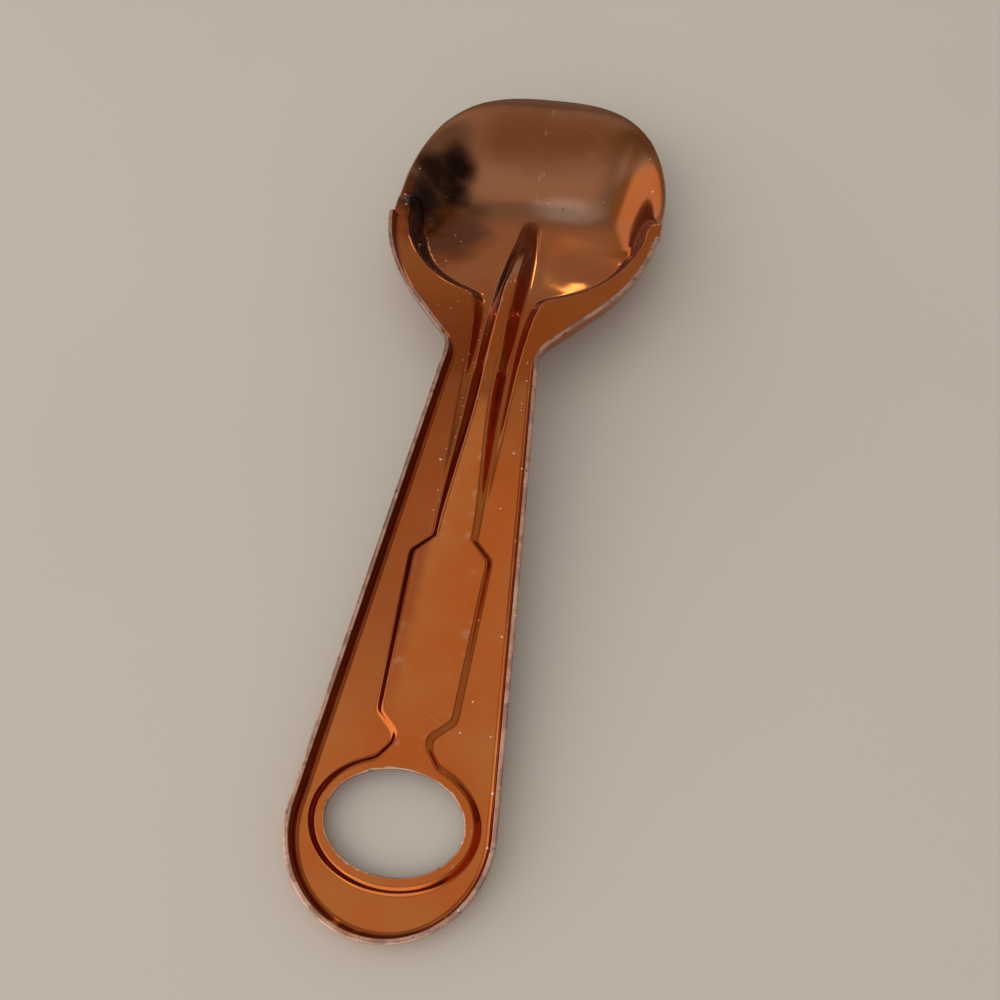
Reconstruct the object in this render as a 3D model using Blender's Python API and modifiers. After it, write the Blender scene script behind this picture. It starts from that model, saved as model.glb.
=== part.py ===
"""A one-piece ice cream scoop, pressed from a single sheet of copper-coloured anodised aluminium.

The scoop is drawn lying along Y, its handle's end at low Y and its lip at high Y, mirrored left and right about X = 0.
In these drawing coordinates x is the half-width, y runs along the handle from the middle of the hang hole, and z = 0 is
the upper face of the handle's floor. The last step tips the finished sheet onto the two places that it rests on.
"""

import math

import bmesh
import bpy
import numpy as np
from mathutils import Matrix

MM = 0.001

# Sheet and its turned-up wall
SHEET_THICKNESS = 1.0 * MM
BEND_RADIUS = 1.2 * MM
WALL_HEIGHT = 3.8 * MM
WALL_BEND = math.radians(84.0)

# Handle outline, on the outside of the wall
END_HALF_WIDTH = 18.9 * MM
END_CENTRE_Y = -1.2 * MM
NECK_HALF_WIDTH = 10.2 * MM
NECK_Y = 101.6 * MM
NECK_FILLET = 8.0 * MM

# Hang hole and the raised ring round it
HOLE_HALF_WIDTH = 12.85 * MM
HOLE_HALF_LENGTH = 9.3 * MM
RING_FLAT = 1.45 * MM
EMBOSS_HEIGHT = 0.9 * MM
EMBOSS_FLANK = 1.75 * MM

# Raised panel, measured at the foot of its flanks
PANEL_HALF_WIDTH_LOW = 8.2 * MM
PANEL_HALF_WIDTH_HIGH = 8.9 * MM
PANEL_START_Y = 19.2 * MM
PANEL_END_Y = 53.0 * MM
PANEL_CHAMFER = 3.6 * MM
LINK_HALF_WIDTH = 4.3 * MM

# Rib from the panel into the bowl: half-widths of its crest and foot, and the height of its crest
RIB_FOOT_HALF_WIDTH = 5.6 * MM
RIB_FOOT_AT_NECK = 4.2 * MM
RIB_SPREAD = 1.0 * MM
RIB_CREST_START = 2.8 * MM
RIB_CREST_END = 0.8 * MM
RIB_TAPER_LENGTH = 34.0 * MM
RIB_LIFT = 0.9 * MM
RIB_RAMP_START_Y = 112.0 * MM
RIB_END_Y = 159.0 * MM
RIB_FADE = 16.0 * MM

# Head outline
HEAD_HALF_WIDTH = 33.0 * MM
HEAD_WIDEST_Y = 146.0 * MM
LIP_LENGTH = 45.1 * MM
LIP_POWER = 2.8
SHOULDER_RADIUS = 46.0 * MM
SHOULDER_ANGLE = math.radians(41.0)
NOTCH_Y = 143.2 * MM
NOTCH_WIDTH = 1.6 * MM
WALL_TIP_ROUND = 2.4 * MM

# Rim of the head and hollow of the bowl
HEAD_DROP = math.radians(5.7)
HEAD_DROP_Y = 95.0 * MM
HEAD_DROP_BLEND = 8.0 * MM
BOWL_DEPTH = 14.0 * MM
BOWL_CENTRE_Y = 150.0 * MM
REAR_CREST_Y = 118.5 * MM
LEDGE_AT_NOTCH = 2.4 * MM
REAR_WALL_RUN = 4.5 * MM
VALLEY_ROUND = 1.6 * MM
REST_FLAT = 0.22 * MM
REST_FLAT_ROUND = 0.06 * MM
REST_LEAN = math.radians(5.70)
BOWL_SIDE_MARGIN = 1.4 * MM
BOWL_LIP_MARGIN = 2.4 * MM
LIP_ROUND = 2.2 * MM
FRONT_BOW = 2.6
FRONT_SOFTNESS = 1.5
SIDE_POWER_AT_NOTCH = 7.0
SIDE_POWER_IN_FRONT = 4.0

# Slope from the neck down into the bowl: how deep it lies, and the inner and outer edges of the trough beside the rib
SLOPE_Y = np.array([62.0, 78.0, 95.0, 106.0, 114.0, 120.0, 127.0, 134.0, 145.0, 161.0, 201.0]) * MM
SLOPE_DEPTH = np.array([0.0, 0.5, 1.1, 1.7, 2.5, 3.4, 4.8, 6.5, 9.3, 13.2, 23.2]) * MM
TROUGH_OUTER = np.array([5.6, 5.9, 6.3, 6.6, 7.4, 9.0, 14.0, 17.0, 17.0, 17.0, 17.0]) * MM
TROUGH_INNER = np.array([4.4, 4.3, 4.2, 4.3, 4.7, 5.4, 7.0, 8.0, 8.0, 8.0, 8.0]) * MM

# Number of mesh rows along each stage of the scoop, and of columns across each strip
ROW_COUNT_END = 7
ROW_COUNT_RING = 7
ROW_COUNT_LINK = 3
ROW_COUNT_CHAMFER = 2
ROW_COUNT_PANEL = 4
ROW_COUNT_RIB = 7
ROW_COUNT_HEAD = 20
ROW_COUNT_LIP = 16
COLUMN_COUNT_TOP = 2
COLUMN_COUNT_FLANK = 3
COLUMN_COUNT_FLOOR = 13
COLUMN_COUNT_BEND = 3
COLUMN_COUNT_WALL = 1

# Places that the rows are laid out by: the ring's last row, and the row ends on the wall that fan out to the panel
RING_LAST_ANGLE = math.radians(66.0)
FAN_START = 2.2
FAN_MIDDLE = 1.6
FAN_END = 0.9
CORNER_PULL = 0.4
LIP_CORNER_SHARE = 0.82
LAST_ROW_SHARE = 0.985
WIDEST_SHARE = 0.9999

COPPER = (0.62, 0.26, 0.12, 1.0)


def smooth_step(value):
    """0 below 0, 1 above 1, and a smooth S between."""
    t = np.clip(value, 0.0, 1.0)
    return t * t * (3.0 - 2.0 * t)


def ramp(start, end, value):
    """How far value has come from start to end, as a smooth S from 0 to 1."""
    return smooth_step((value - start) / (end - start))


def unit(vector):
    return vector / np.hypot(*vector)


def hole_offset(angle, distance):
    """A point that lies distance outside the hang hole's ellipse, at the ellipse's own angle."""
    on_edge = np.array([HOLE_HALF_WIDTH * math.cos(angle), HOLE_HALF_LENGTH * math.sin(angle)])
    outward = unit(np.array([HOLE_HALF_LENGTH * math.cos(angle), HOLE_HALF_WIDTH * math.sin(angle)]))
    return on_edge + distance * outward


def side_tangent():
    """Where the handle's straight side leaves the round end, and the unit direction of that side."""
    neck = np.array([NECK_HALF_WIDTH, NECK_Y])
    to_neck = neck - (0.0, END_CENTRE_Y)
    angle = math.atan2(to_neck[1], to_neck[0]) - math.acos(END_HALF_WIDTH / np.hypot(*to_neck))
    start = np.array([END_HALF_WIDTH * math.cos(angle), END_CENTRE_Y + END_HALF_WIDTH * math.sin(angle)])
    return angle, start, unit(neck - start)


def shoulder_tangent():
    """Where the shoulder's arc starts, and the unit direction of the straight stretch that leads to it."""
    centre = np.array([HEAD_HALF_WIDTH - SHOULDER_RADIUS, HEAD_WIDEST_Y])
    start = centre + SHOULDER_RADIUS * np.array([math.cos(SHOULDER_ANGLE), -math.sin(SHOULDER_ANGLE)])
    return centre, start, np.array([math.sin(SHOULDER_ANGLE), math.cos(SHOULDER_ANGLE)])


def neck_fillet():
    """The arc that joins the handle's side to the shoulder: its centre, first point and last point."""
    _, side_start, side_way = side_tangent()
    _, shoulder_start, shoulder_way = shoulder_tangent()
    along = np.linalg.solve(np.column_stack([side_way, -shoulder_way]), shoulder_start - side_start)
    corner = side_start + along[0] * side_way
    turn = math.acos(float(side_way @ shoulder_way))
    reach = NECK_FILLET * math.tan(turn / 2)
    first = corner - reach * side_way
    outward = np.array([side_way[1], -side_way[0]])
    return first + NECK_FILLET * outward, first, corner + reach * shoulder_way


def arc(centre, first, last, steps):
    """Points on the short arc from first to last about centre."""
    start = math.atan2(*(first - centre)[::-1])
    turn = math.atan2(*(last - centre)[::-1]) - start
    turn = (turn + math.pi) % (2 * math.pi) - math.pi
    angles = start + turn * np.linspace(0.0, 1.0, steps)
    return centre + np.hypot(*(first - centre)) * np.column_stack([np.cos(angles), np.sin(angles)])


def lip_y(x):
    """The lip's edge above half-width x: a superellipse that is flat in front and full at its corners."""
    share = np.clip(np.abs(x) / HEAD_HALF_WIDTH, 0.0, 1.0)
    return HEAD_WIDEST_Y + LIP_LENGTH * (1.0 - share**LIP_POWER) ** (1.0 / LIP_POWER)


def lip_x(y):
    """The lip's half-width at y."""
    share = np.clip((y - HEAD_WIDEST_Y) / LIP_LENGTH, 0.0, 1.0)
    return HEAD_HALF_WIDTH * (1.0 - share**LIP_POWER) ** (1.0 / LIP_POWER)


def outline():
    """The outer outline of the right half, from the handle's end to the notch, as a fine line of points."""
    angle, side_start, _ = side_tangent()
    cap_angles = np.linspace(-math.pi / 2, angle, 60)
    cap = END_HALF_WIDTH * np.column_stack([np.cos(cap_angles), np.sin(cap_angles)]) + (0.0, END_CENTRE_Y)
    fillet = arc(*neck_fillet(), 20)
    centre, shoulder_start, _ = shoulder_tangent()
    notch_turn = math.asin(max(HEAD_WIDEST_Y - NOTCH_Y, 0.0) / SHOULDER_RADIUS)
    shoulder_end = centre + SHOULDER_RADIUS * np.array([math.cos(notch_turn), -math.sin(notch_turn)])
    return np.vstack([cap, fillet, arc(centre, shoulder_start, shoulder_end, 40)])


def outline_at(line, y):
    """The outline's point at y, above the round end, and its outward direction."""
    above = line[:, 1] > END_CENTRE_Y
    xs, ys = line[above].T
    step = 0.2 * MM
    x = np.interp([y - step, y, y + step], ys, xs)
    return np.array([x[1], y]), unit(np.array([2 * step, x[0] - x[2]]))


def head_drop(y):
    """How far the head's rim lies below the handle's plane at y: a parabola over the blend, then a straight slope."""
    past = y - HEAD_DROP_Y
    eased = np.maximum(past, 0.0) ** 2 / (2 * HEAD_DROP_BLEND)
    return np.where(past < HEAD_DROP_BLEND, eased, past - HEAD_DROP_BLEND / 2) * math.tan(HEAD_DROP)


def smooth_line(y, stops, values):
    """A curve through the values at the stops: straight lines between them, evened out over a few millimetres."""
    shifts = np.linspace(-4.0, 4.0, 9) * MM
    weights = np.exp(-((shifts / (2.2 * MM)) ** 2))
    return sum(w * np.interp(y + s, stops, values) for s, w in zip(shifts, weights)) / weights.sum()


def rear_hollow(x, y):
    """Depth of the slope that falls from the neck, inside the rear crest and in the trough beside the rib.

    The crest is an ellipse with a steep wall under it. The trough's sides are S curves. The two are joined as chances
    are: 1 - (1 - a)(1 - b).
    """
    depth, outer, inner = (smooth_line(y, SLOPE_Y, v) for v in (SLOPE_DEPTH, TROUGH_OUTER, TROUGH_INNER))
    reach = BOWL_CENTRE_Y - REAR_CREST_Y
    across = np.abs(x) / (HEAD_HALF_WIDTH - LEDGE_AT_NOTCH)
    share = (across**2.1 + (np.abs(y - BOWL_CENTRE_Y) / reach) ** 2.1) ** (1 / 2.1)
    crest = smooth_step((1.0 - share) * reach / REAR_WALL_RUN)
    crest += (1.0 - crest) * ramp(BOWL_CENTRE_Y - 4 * MM, BOWL_CENTRE_Y + 12 * MM, y)
    trough = 1 - smooth_step((np.abs(x) - inner) / (outer - inner))
    return depth * (1 - (1 - crest) * (1 - trough))


def front_hollow(x, y):
    """Depth ahead of the valley: its sides rise to the lip's side edges, and its floor rises to the lip's front."""
    lip_start = HEAD_WIDEST_Y + LIP_LENGTH - BOWL_LIP_MARGIN
    along = np.clip((y - NOTCH_Y) / (lip_start - NOTCH_Y), 0.0, 1.0)
    rise = (1.0 - along**FRONT_BOW) ** FRONT_SOFTNESS
    side_y = np.minimum(y, HEAD_WIDEST_Y + LAST_ROW_SHARE * LIP_LENGTH)
    half = np.maximum(lip_x(side_y) - BOWL_SIDE_MARGIN, 1 * MM)
    across = np.abs(x) / half
    soft = LIP_ROUND / half
    inside = ((1.0 - across) + np.sqrt((1.0 - across) ** 2 + soft**2)) / 2
    forward = ramp(NOTCH_Y, HEAD_WIDEST_Y, y)
    power = SIDE_POWER_AT_NOTCH + (SIDE_POWER_IN_FRONT - SIDE_POWER_AT_NOTCH) * forward
    return BOWL_DEPTH * rise * (1.0 - np.clip(1.0 - inside, 0.0, 1.0) ** power)


def hollowed_height(x, y):
    """Height of the rim's slope, less the shallower of the two hollows."""
    rear = rear_hollow(x, y)
    front = front_hollow(x, y)
    shallower = (rear + front - np.sqrt((rear - front) ** 2 + VALLEY_ROUND**2)) / 2
    shallower = np.where(y < NOTCH_Y - 12 * MM, rear, np.maximum(shallower, 0.0))
    return -head_drop(y) - shallower


def floor_height(x, y):
    """Height of the sheet without its raised work. The bowl's bottom is pressed flat a little where it lies at rest."""
    floor = hollowed_height(x, y)
    near_valley = np.linspace(NOTCH_Y, HEAD_WIDEST_Y + LIP_LENGTH / 2, 200)
    lean = math.tan(REST_LEAN)
    level = (hollowed_height(0 * near_valley, near_valley) + lean * near_valley).min() + REST_FLAT
    flat = level - lean * y
    flattened = (floor + flat + np.sqrt((floor - flat) ** 2 + REST_FLAT_ROUND**2)) / 2
    return np.where(y > NECK_Y, flattened, floor)


def rib_crest(y):
    """Height of the rib's crest: the panel's height, a low swell at the neck, then a ramp down to the bowl's valley."""
    end = float(floor_height(np.array(0.0), np.array(RIB_END_Y)))
    high = EMBOSS_HEIGHT + RIB_LIFT
    low = high - 4.2 * MM
    stops = [PANEL_END_Y, 90 * MM, RIB_RAMP_START_Y, 125 * MM, 136 * MM, 146 * MM, RIB_END_Y]
    levels = [EMBOSS_HEIGHT, high, high - 1.2 * MM, low, low + (end - low) * 0.36, low + (end - low) * 0.68, end]
    return smooth_line(y, stops, levels)


def rib_half_widths(y):
    """The rib's half-width at its crest and at its foot: it narrows towards the neck and spreads a little in the bowl."""
    spread_share = ramp(118 * MM, RIB_END_Y, y)
    taper = ramp(PANEL_END_Y, PANEL_END_Y + RIB_TAPER_LENGTH, y)
    crest = RIB_CREST_START + (RIB_CREST_END - RIB_CREST_START) * taper
    foot = RIB_FOOT_HALF_WIDTH + (RIB_FOOT_AT_NECK - RIB_FOOT_HALF_WIDTH) * ramp(62 * MM, 92 * MM, y)
    return crest + 0.3 * RIB_SPREAD * spread_share, foot + RIB_SPREAD * spread_share


def rib_share(x, y):
    """1 on the rib's crest and 0 beyond its foot, an S between, fading out where the rib ends."""
    crest, foot = rib_half_widths(y)
    profile = 1 - smooth_step((np.abs(x) - crest) / (foot - crest))
    return profile * (1 - ramp(RIB_END_Y - RIB_FADE, RIB_END_Y, y))


def sheet_height(x, y, raised):
    """Height of the upper face: the floor plus the embossed ring and panel, or the rib over the floor past the panel."""
    floor = floor_height(x, y)
    on_rib = y > PANEL_END_Y + PANEL_CHAMFER - 0.01 * MM
    return floor + raised + on_rib * rib_share(x, y) * (rib_crest(y) - floor)


def panel_row(t):
    """Middle, crest and foot of the emboss from the ring's link to the panel's far shoulder, for t from 0 to 5."""
    flank = EMBOSS_FLANK
    low_y = PANEL_START_Y - PANEL_CHAMFER
    link_y = (HOLE_HALF_LENGTH + RING_FLAT + flank + low_y) / 2
    high_crest, high_foot = rib_half_widths(PANEL_END_Y + PANEL_CHAMFER)
    ring_foot = hole_offset(RING_LAST_ANGLE, RING_FLAT + flank)
    ring_crest = hole_offset(RING_LAST_ANGLE, RING_FLAT)
    keys = np.array(
        [
            [hole_offset(RING_LAST_ANGLE, 0.0), ring_crest, ring_foot],
            [(0.0, HOLE_HALF_LENGTH), (LINK_HALF_WIDTH - flank, link_y), (LINK_HALF_WIDTH, link_y)],
            [(0.0, link_y), (LINK_HALF_WIDTH - flank, low_y + CORNER_PULL * flank), (LINK_HALF_WIDTH, low_y)],
            [
                (0.0, PANEL_START_Y),
                (PANEL_HALF_WIDTH_LOW - flank, PANEL_START_Y + CORNER_PULL * flank),
                (PANEL_HALF_WIDTH_LOW, PANEL_START_Y),
            ],
            [
                (0.0, PANEL_END_Y),
                (PANEL_HALF_WIDTH_HIGH - flank, PANEL_END_Y - CORNER_PULL * flank),
                (PANEL_HALF_WIDTH_HIGH, PANEL_END_Y),
            ],
            [
                (0.0, PANEL_END_Y + PANEL_CHAMFER),
                (high_crest, PANEL_END_Y + PANEL_CHAMFER),
                (high_foot, PANEL_END_Y + PANEL_CHAMFER),
            ],
        ]
    )
    low = min(int(t), 4)
    return keys[low] + (t - low) * (keys[low + 1] - keys[low])


def wall_top(y):
    """The wall's height at y along the outline: full height, rounded off where it ends at the notch."""
    wall_end = NOTCH_Y - NOTCH_WIDTH / 2
    near = float(np.clip((wall_end - y) / WALL_TIP_ROUND, 0.0, 1.0))
    lowest = BEND_RADIUS + SHEET_THICKNESS / 2
    return lowest + (WALL_HEIGHT - lowest) * math.sqrt(1 - (1 - near) ** 2)


def wall_point(foot, outward, top, share):
    """A point on the wall, as x, y and height above the floor: round the bend to share 1, then straight up to 2."""
    turn = WALL_BEND * min(share, 1.0)
    across, up = BEND_RADIUS * math.sin(turn), BEND_RADIUS * (1 - math.cos(turn))
    rise = max(share - 1.0, 0.0) * (top - up)
    return (*(foot + (across + rise / math.tan(WALL_BEND)) * outward), up + rise)


def spread(first, last, count):
    """Points from first to last, without first."""
    return [first + (last - first) * (k + 1) / count for k in range(count)]


def column_shares():
    """For each column past the middle one: which strip it is in and how far across that strip."""
    strips = (COLUMN_COUNT_TOP, COLUMN_COUNT_FLANK, COLUMN_COUNT_FLOOR)
    return [(strip, (k + 1) / count) for strip, count in enumerate(strips) for k in range(count)]


def row_points(middle, crest, foot, edge, outward, height, top=WALL_HEIGHT):
    """One row of points, from the middle or the hole's edge out to the top of the wall."""
    flat = SHEET_THICKNESS + BEND_RADIUS
    floor_end = edge - flat * outward
    guides = [middle, crest, foot, floor_end]
    points = [(*middle, height)]
    for strip, share in column_shares():
        place = guides[strip] + (guides[strip + 1] - guides[strip]) * share
        raised = (height, height * (1 - smooth_step(share)), 0.0)[strip]
        points.append((*place, raised))
    shares = [(k + 1) / COLUMN_COUNT_BEND for k in range(COLUMN_COUNT_BEND)]
    shares += [1 + (k + 1) / COLUMN_COUNT_WALL for k in range(COLUMN_COUNT_WALL)]
    points += [wall_point(floor_end, outward, top, s) for s in shares]
    return points


def lip_row_points(axis_y, edge_x, edge_y):
    """One row from the middle line to the lip's side edge. Rows bow forwards until the last one is the lip itself."""
    crest, foot = rib_half_widths(np.array(axis_y))
    flat = SHEET_THICKNESS + BEND_RADIUS
    guides = [0.0, float(crest), float(foot), edge_x - flat]
    places = [0.0]
    places += [guides[strip] + (guides[strip + 1] - guides[strip]) * share for strip, share in column_shares()]
    places += spread(guides[3], edge_x, COLUMN_COUNT_BEND + COLUMN_COUNT_WALL)
    front = HEAD_WIDEST_Y + LIP_LENGTH
    bow = [(front - float(lip_y(x))) / (front - float(lip_y(edge_x))) for x in places]
    return [(x, axis_y + (edge_y - axis_y) * b, 0.0) for x, b in zip(places, bow)]


def walled_rows():
    """The rows of points of the right half that end on the wall, from the handle's end to the notch."""
    line = outline()
    rows = []
    flank = RING_FLAT + EMBOSS_FLANK
    for k in range(ROW_COUNT_END):
        angle = -math.pi / 2 + (math.pi / 2) * k / ROW_COUNT_END
        outward = np.array([math.cos(angle), math.sin(angle)])
        edge = np.array([0.0, END_CENTRE_Y]) + END_HALF_WIDTH * outward
        emboss = [hole_offset(angle, d) for d in (0.0, RING_FLAT, flank)]
        rows.append(row_points(*emboss, edge, outward, EMBOSS_HEIGHT))
    link_y = PANEL_START_Y - FAN_START * PANEL_CHAMFER
    for k in range(ROW_COUNT_RING):
        angle = RING_LAST_ANGLE * k / ROW_COUNT_RING
        edge, outward = outline_at(line, END_CENTRE_Y + (link_y - END_CENTRE_Y) * k / ROW_COUNT_RING + 0.3 * MM)
        emboss = [hole_offset(angle, d) for d in (0.0, RING_FLAT, flank)]
        rows.append(row_points(*emboss, edge, outward, EMBOSS_HEIGHT))
    edge_y = [PANEL_START_Y - fan * PANEL_CHAMFER for fan in (FAN_START, FAN_MIDDLE, FAN_END, 0.0)]
    edge_y += [PANEL_END_Y, PANEL_END_Y + PANEL_CHAMFER]
    stages = [ROW_COUNT_LINK, ROW_COUNT_LINK - 1, ROW_COUNT_CHAMFER, ROW_COUNT_PANEL, ROW_COUNT_CHAMFER]
    for stage, count in enumerate(stages):
        for k in range(count):
            share = k / count
            edge, outward = outline_at(line, edge_y[stage] + (edge_y[stage + 1] - edge_y[stage]) * share)
            emboss = panel_row(stage + share)
            rows.append(row_points(*emboss, edge, outward, EMBOSS_HEIGHT))
    rib_start = PANEL_END_Y + PANEL_CHAMFER
    neck_end = NECK_Y - 3 * MM
    wall_end = NOTCH_Y - NOTCH_WIDTH / 2
    head_ys = np.linspace(neck_end, wall_end - WALL_TIP_ROUND, ROW_COUNT_HEAD + 1)
    tip_ys = wall_end - WALL_TIP_ROUND * np.array([0.6, 0.25, 0.0])
    for y in (*np.linspace(rib_start, neck_end, ROW_COUNT_RIB + 1)[:-1], *head_ys, *tip_ys):
        edge, outward = outline_at(line, y)
        crest, foot = rib_half_widths(np.array(y))
        emboss = [np.array([x, y]) for x in (0.0, float(crest), float(foot))]
        rows.append(row_points(*emboss, edge, outward, 0.0, wall_top(y)))
    return rows


def lip_rows():
    """The rows ahead of the notch, whose edge is the plain lip. The last one is the lip's front edge."""
    front = HEAD_WIDEST_Y + LIP_LENGTH
    start = NOTCH_Y + NOTCH_WIDTH / 2
    corner_x = LIP_CORNER_SHARE * HEAD_HALF_WIDTH
    corner_y = float(lip_y(corner_x))
    rows = []
    for k in range(ROW_COUNT_LIP + 1):
        share = k / ROW_COUNT_LIP
        axis_y = start + (front - start) * (share if k == ROW_COUNT_LIP else LAST_ROW_SHARE * share)
        side_y = start + (corner_y - start) * share
        edge_x = corner_x if k == ROW_COUNT_LIP else float(lip_x(side_y))
        rows.append(lip_row_points(axis_y, min(edge_x, WIDEST_SHARE * HEAD_HALF_WIDTH), side_y))
    return rows


def copper_material():
    material = bpy.data.materials.new("copper_anodised_aluminium")
    material.use_nodes = True
    shader = material.node_tree.nodes["Principled BSDF"]
    shader.inputs["Base Color"].default_value = COPPER
    shader.inputs["Metallic"].default_value = 1.0
    shader.inputs["Roughness"].default_value = 0.22
    return material


def scoop_half():
    """The upper face of the sheet's right half. At the notch the row's faces stop short of the wall and the lip."""
    walled = walled_rows()
    rows = np.array(walled + lip_rows())
    rows[..., 2] = sheet_height(*np.moveaxis(rows, 2, 0))
    mesh = bpy.data.meshes.new("scoop_pressing")
    made = bmesh.new()
    grid = [[made.verts.new(point) for point in row] for row in rows]
    floor_columns = 1 + COLUMN_COUNT_TOP + COLUMN_COUNT_FLANK + COLUMN_COUNT_FLOOR
    for number, (low, high) in enumerate(zip(grid[:-1], grid[1:]), start=1):
        width = floor_columns if number == len(walled) else len(low)
        for a, b, c, d in zip(low[: width - 1], low[1:width], high[1:width], high[: width - 1]):
            made.faces.new((a, b, c, d))
    bmesh.ops.delete(made, geom=[v for v in made.verts if not v.link_faces], context="VERTS")
    made.to_mesh(mesh)
    made.free()
    return mesh


def lowest_slope(points):
    """The slope of the line that the sheet rests on, seen from the side: it touches the end and the bowl from below."""
    end = points[points[:, 1] < HOLE_HALF_LENGTH]
    bowl = points[points[:, 1] > NECK_Y]
    angle = 0.0
    for _ in range(30):
        low_end = end[np.argmin(end[:, 2] * math.cos(angle) - end[:, 1] * math.sin(angle))]
        low_bowl = bowl[np.argmin(bowl[:, 2] * math.cos(angle) - bowl[:, 1] * math.sin(angle))]
        angle = math.atan2(low_bowl[2] - low_end[2], low_bowl[1] - low_end[1])
    return angle


def rest_on_ground(scoop):
    """Tips the scoop onto its end and the bowl's underside, over the origin."""
    bpy.context.view_layer.update()
    shown = scoop.evaluated_get(bpy.context.evaluated_depsgraph_get()).to_mesh()
    points = np.empty(len(shown.vertices) * 3, np.float32)
    shown.vertices.foreach_get("co", points)
    points = points.reshape(-1, 3).astype(float)
    turn = -lowest_slope(points)
    turned = points @ np.array(Matrix.Rotation(turn, 3, "X")).T
    low, high = turned.min(0), turned.max(0)
    scoop.rotation_euler = (turn, 0.0, 0.0)
    scoop.location = (-(low[0] + high[0]) / 2, -(low[1] + high[1]) / 2, -low[2])
    print(f"tipped by {math.degrees(turn):.3f} degrees, moved by {[round(v * 1000, 3) for v in scoop.location]} mm")


def make_scoop(collection):
    mesh = scoop_half()
    mesh.materials.append(copper_material())
    scoop = bpy.data.objects.new("scoop_pressing", mesh)
    collection.objects.link(scoop)
    mirror = scoop.modifiers.new("left_half", "MIRROR")
    mirror.use_axis = (True, False, False)
    mirror.use_clip = True
    mirror.merge_threshold = 0.00001
    sheet = scoop.modifiers.new("sheet", "SOLIDIFY")
    sheet.thickness = SHEET_THICKNESS
    sheet.offset = -1.0
    sheet.use_even_offset = True
    mesh.shade_smooth()
    mesh.set_sharp_from_angle(angle=math.radians(50))
    rest_on_ground(scoop)
    return scoop


def main():
    for old in list(bpy.data.objects):
        bpy.data.objects.remove(old, do_unlink=True)
    collection = bpy.data.collections.new("ice_cream_scoop")
    bpy.context.scene.collection.children.link(collection)
    make_scoop(collection)


main()
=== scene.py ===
"""Dresses the ice cream scoop from model.glb: one pressed sheet of copper-coloured anodised aluminium,
slightly worn.

The sheet is worked out in drawing coordinates, in metres: x is the distance from the middle line, y runs
along the handle from the middle of the hang hole towards the bowl, and z = 0 is the upper face of the
handle's floor.
"""

import math
from functools import partial, reduce

import bpy
import numpy as np
from bpy.props import FloatProperty, PointerProperty, StringProperty
from mathutils import Matrix, Vector


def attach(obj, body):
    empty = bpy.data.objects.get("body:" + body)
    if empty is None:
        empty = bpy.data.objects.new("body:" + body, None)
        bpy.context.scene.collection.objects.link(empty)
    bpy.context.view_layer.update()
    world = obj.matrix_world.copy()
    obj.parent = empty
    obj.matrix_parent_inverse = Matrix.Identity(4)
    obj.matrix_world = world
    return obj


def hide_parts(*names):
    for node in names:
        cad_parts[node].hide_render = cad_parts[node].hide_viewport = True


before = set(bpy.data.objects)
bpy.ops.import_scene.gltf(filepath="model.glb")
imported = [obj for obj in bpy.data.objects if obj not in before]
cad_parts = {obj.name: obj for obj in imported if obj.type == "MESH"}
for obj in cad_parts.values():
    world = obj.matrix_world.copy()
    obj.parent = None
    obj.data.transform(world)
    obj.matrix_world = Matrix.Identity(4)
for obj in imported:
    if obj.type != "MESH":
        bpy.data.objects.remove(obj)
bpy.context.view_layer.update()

bl_info = {
    "name": "Pressed Ice Cream Scoop",
    "version": (1, 0, 0),
    "blender": (4, 5, 0),
    "location": "3D View > Sidebar > Scoop",
    "description": "Builds a pressed ice cream scoop, its copper anodised finish and a plain studio",
    "category": "Object",
}

MM = 0.001
NODE = "scoop_pressing"

# Points on each part of the outline: round the handle's end, along the fillet and along the shoulder.
END_STEPS, FILLET_STEPS, SHOULDER_STEPS = 240, 60, 160
# Depth of the slope from the neck into the bowl, and half-widths of the tongue that it cuts beside the rib.
SLOPE_Y = np.array([62.0, 78.0, 95.0, 106.0, 114.0, 120.0, 127.0, 134.0, 145.0, 161.0, 201.0]) * MM
SLOPE_DEPTH = np.array([0.0, 0.5, 1.1, 1.7, 2.5, 3.4, 4.8, 6.5, 9.3, 13.2, 23.2]) * MM
TONGUE_OUTER = np.array([5.6, 5.9, 6.3, 6.6, 7.4, 9.0, 14.0, 17.0, 17.0, 17.0, 17.0]) * MM
TONGUE_INNER = np.array([4.4, 4.3, 4.2, 4.3, 4.7, 5.4, 7.0, 8.0, 8.0, 8.0, 8.0]) * MM
# The rear crest is an ellipse with this power, and stops counting over this span from its centre.
CREST_POWER = 2.1
CREST_ENDS = (-4 * MM, 12 * MM)
# The front hollow starts to count over this span from the notch, and its trough is never narrower than this.
FRONT_STARTS = (-30 * MM, -12 * MM)
NARROWEST = 1 * MM
# Places tried along the middle line to find the bowl's lowest one.
VALLEY_STEPS = 200
# Where the rib's foot narrows to the neck, where its point starts, and how far past its end it has sunk.
RIB_NARROWS = (62 * MM, 92 * MM)
RIB_POINT_STARTS = 118 * MM
RIB_PAST_END = 1 * MM
# The rib's crest: its start past the panel, its highest place, two falls from there, and the last stops, of
# which two lie at these shares of what is left down to the bowl.
RIB_START, RIB_HIGH = 3 * MM, 90 * MM
RIB_FALL_FIRST, RIB_FALL_NEXT = 1.2 * MM, 4.2 * MM
RIB_STEPS_Y = (125 * MM, 136 * MM, 146 * MM)
RIB_STEPS = (0.36, 0.68)
# The fine groove beside the rib: where it comes and goes, its distance from the foot and its half-width.
GUTTER_STARTS, GUTTER_ENDS = (120 * MM, 126 * MM), (138 * MM, 146 * MM)
GUTTER_OFF, GUTTER_HALF = 0.9 * MM, 0.7 * MM
# How far outside the rib's foot its guide line runs, and an allowance for rounding.
FOOT_MARGIN = 2.2 * MM
HAIR = 0.01 * MM
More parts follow.
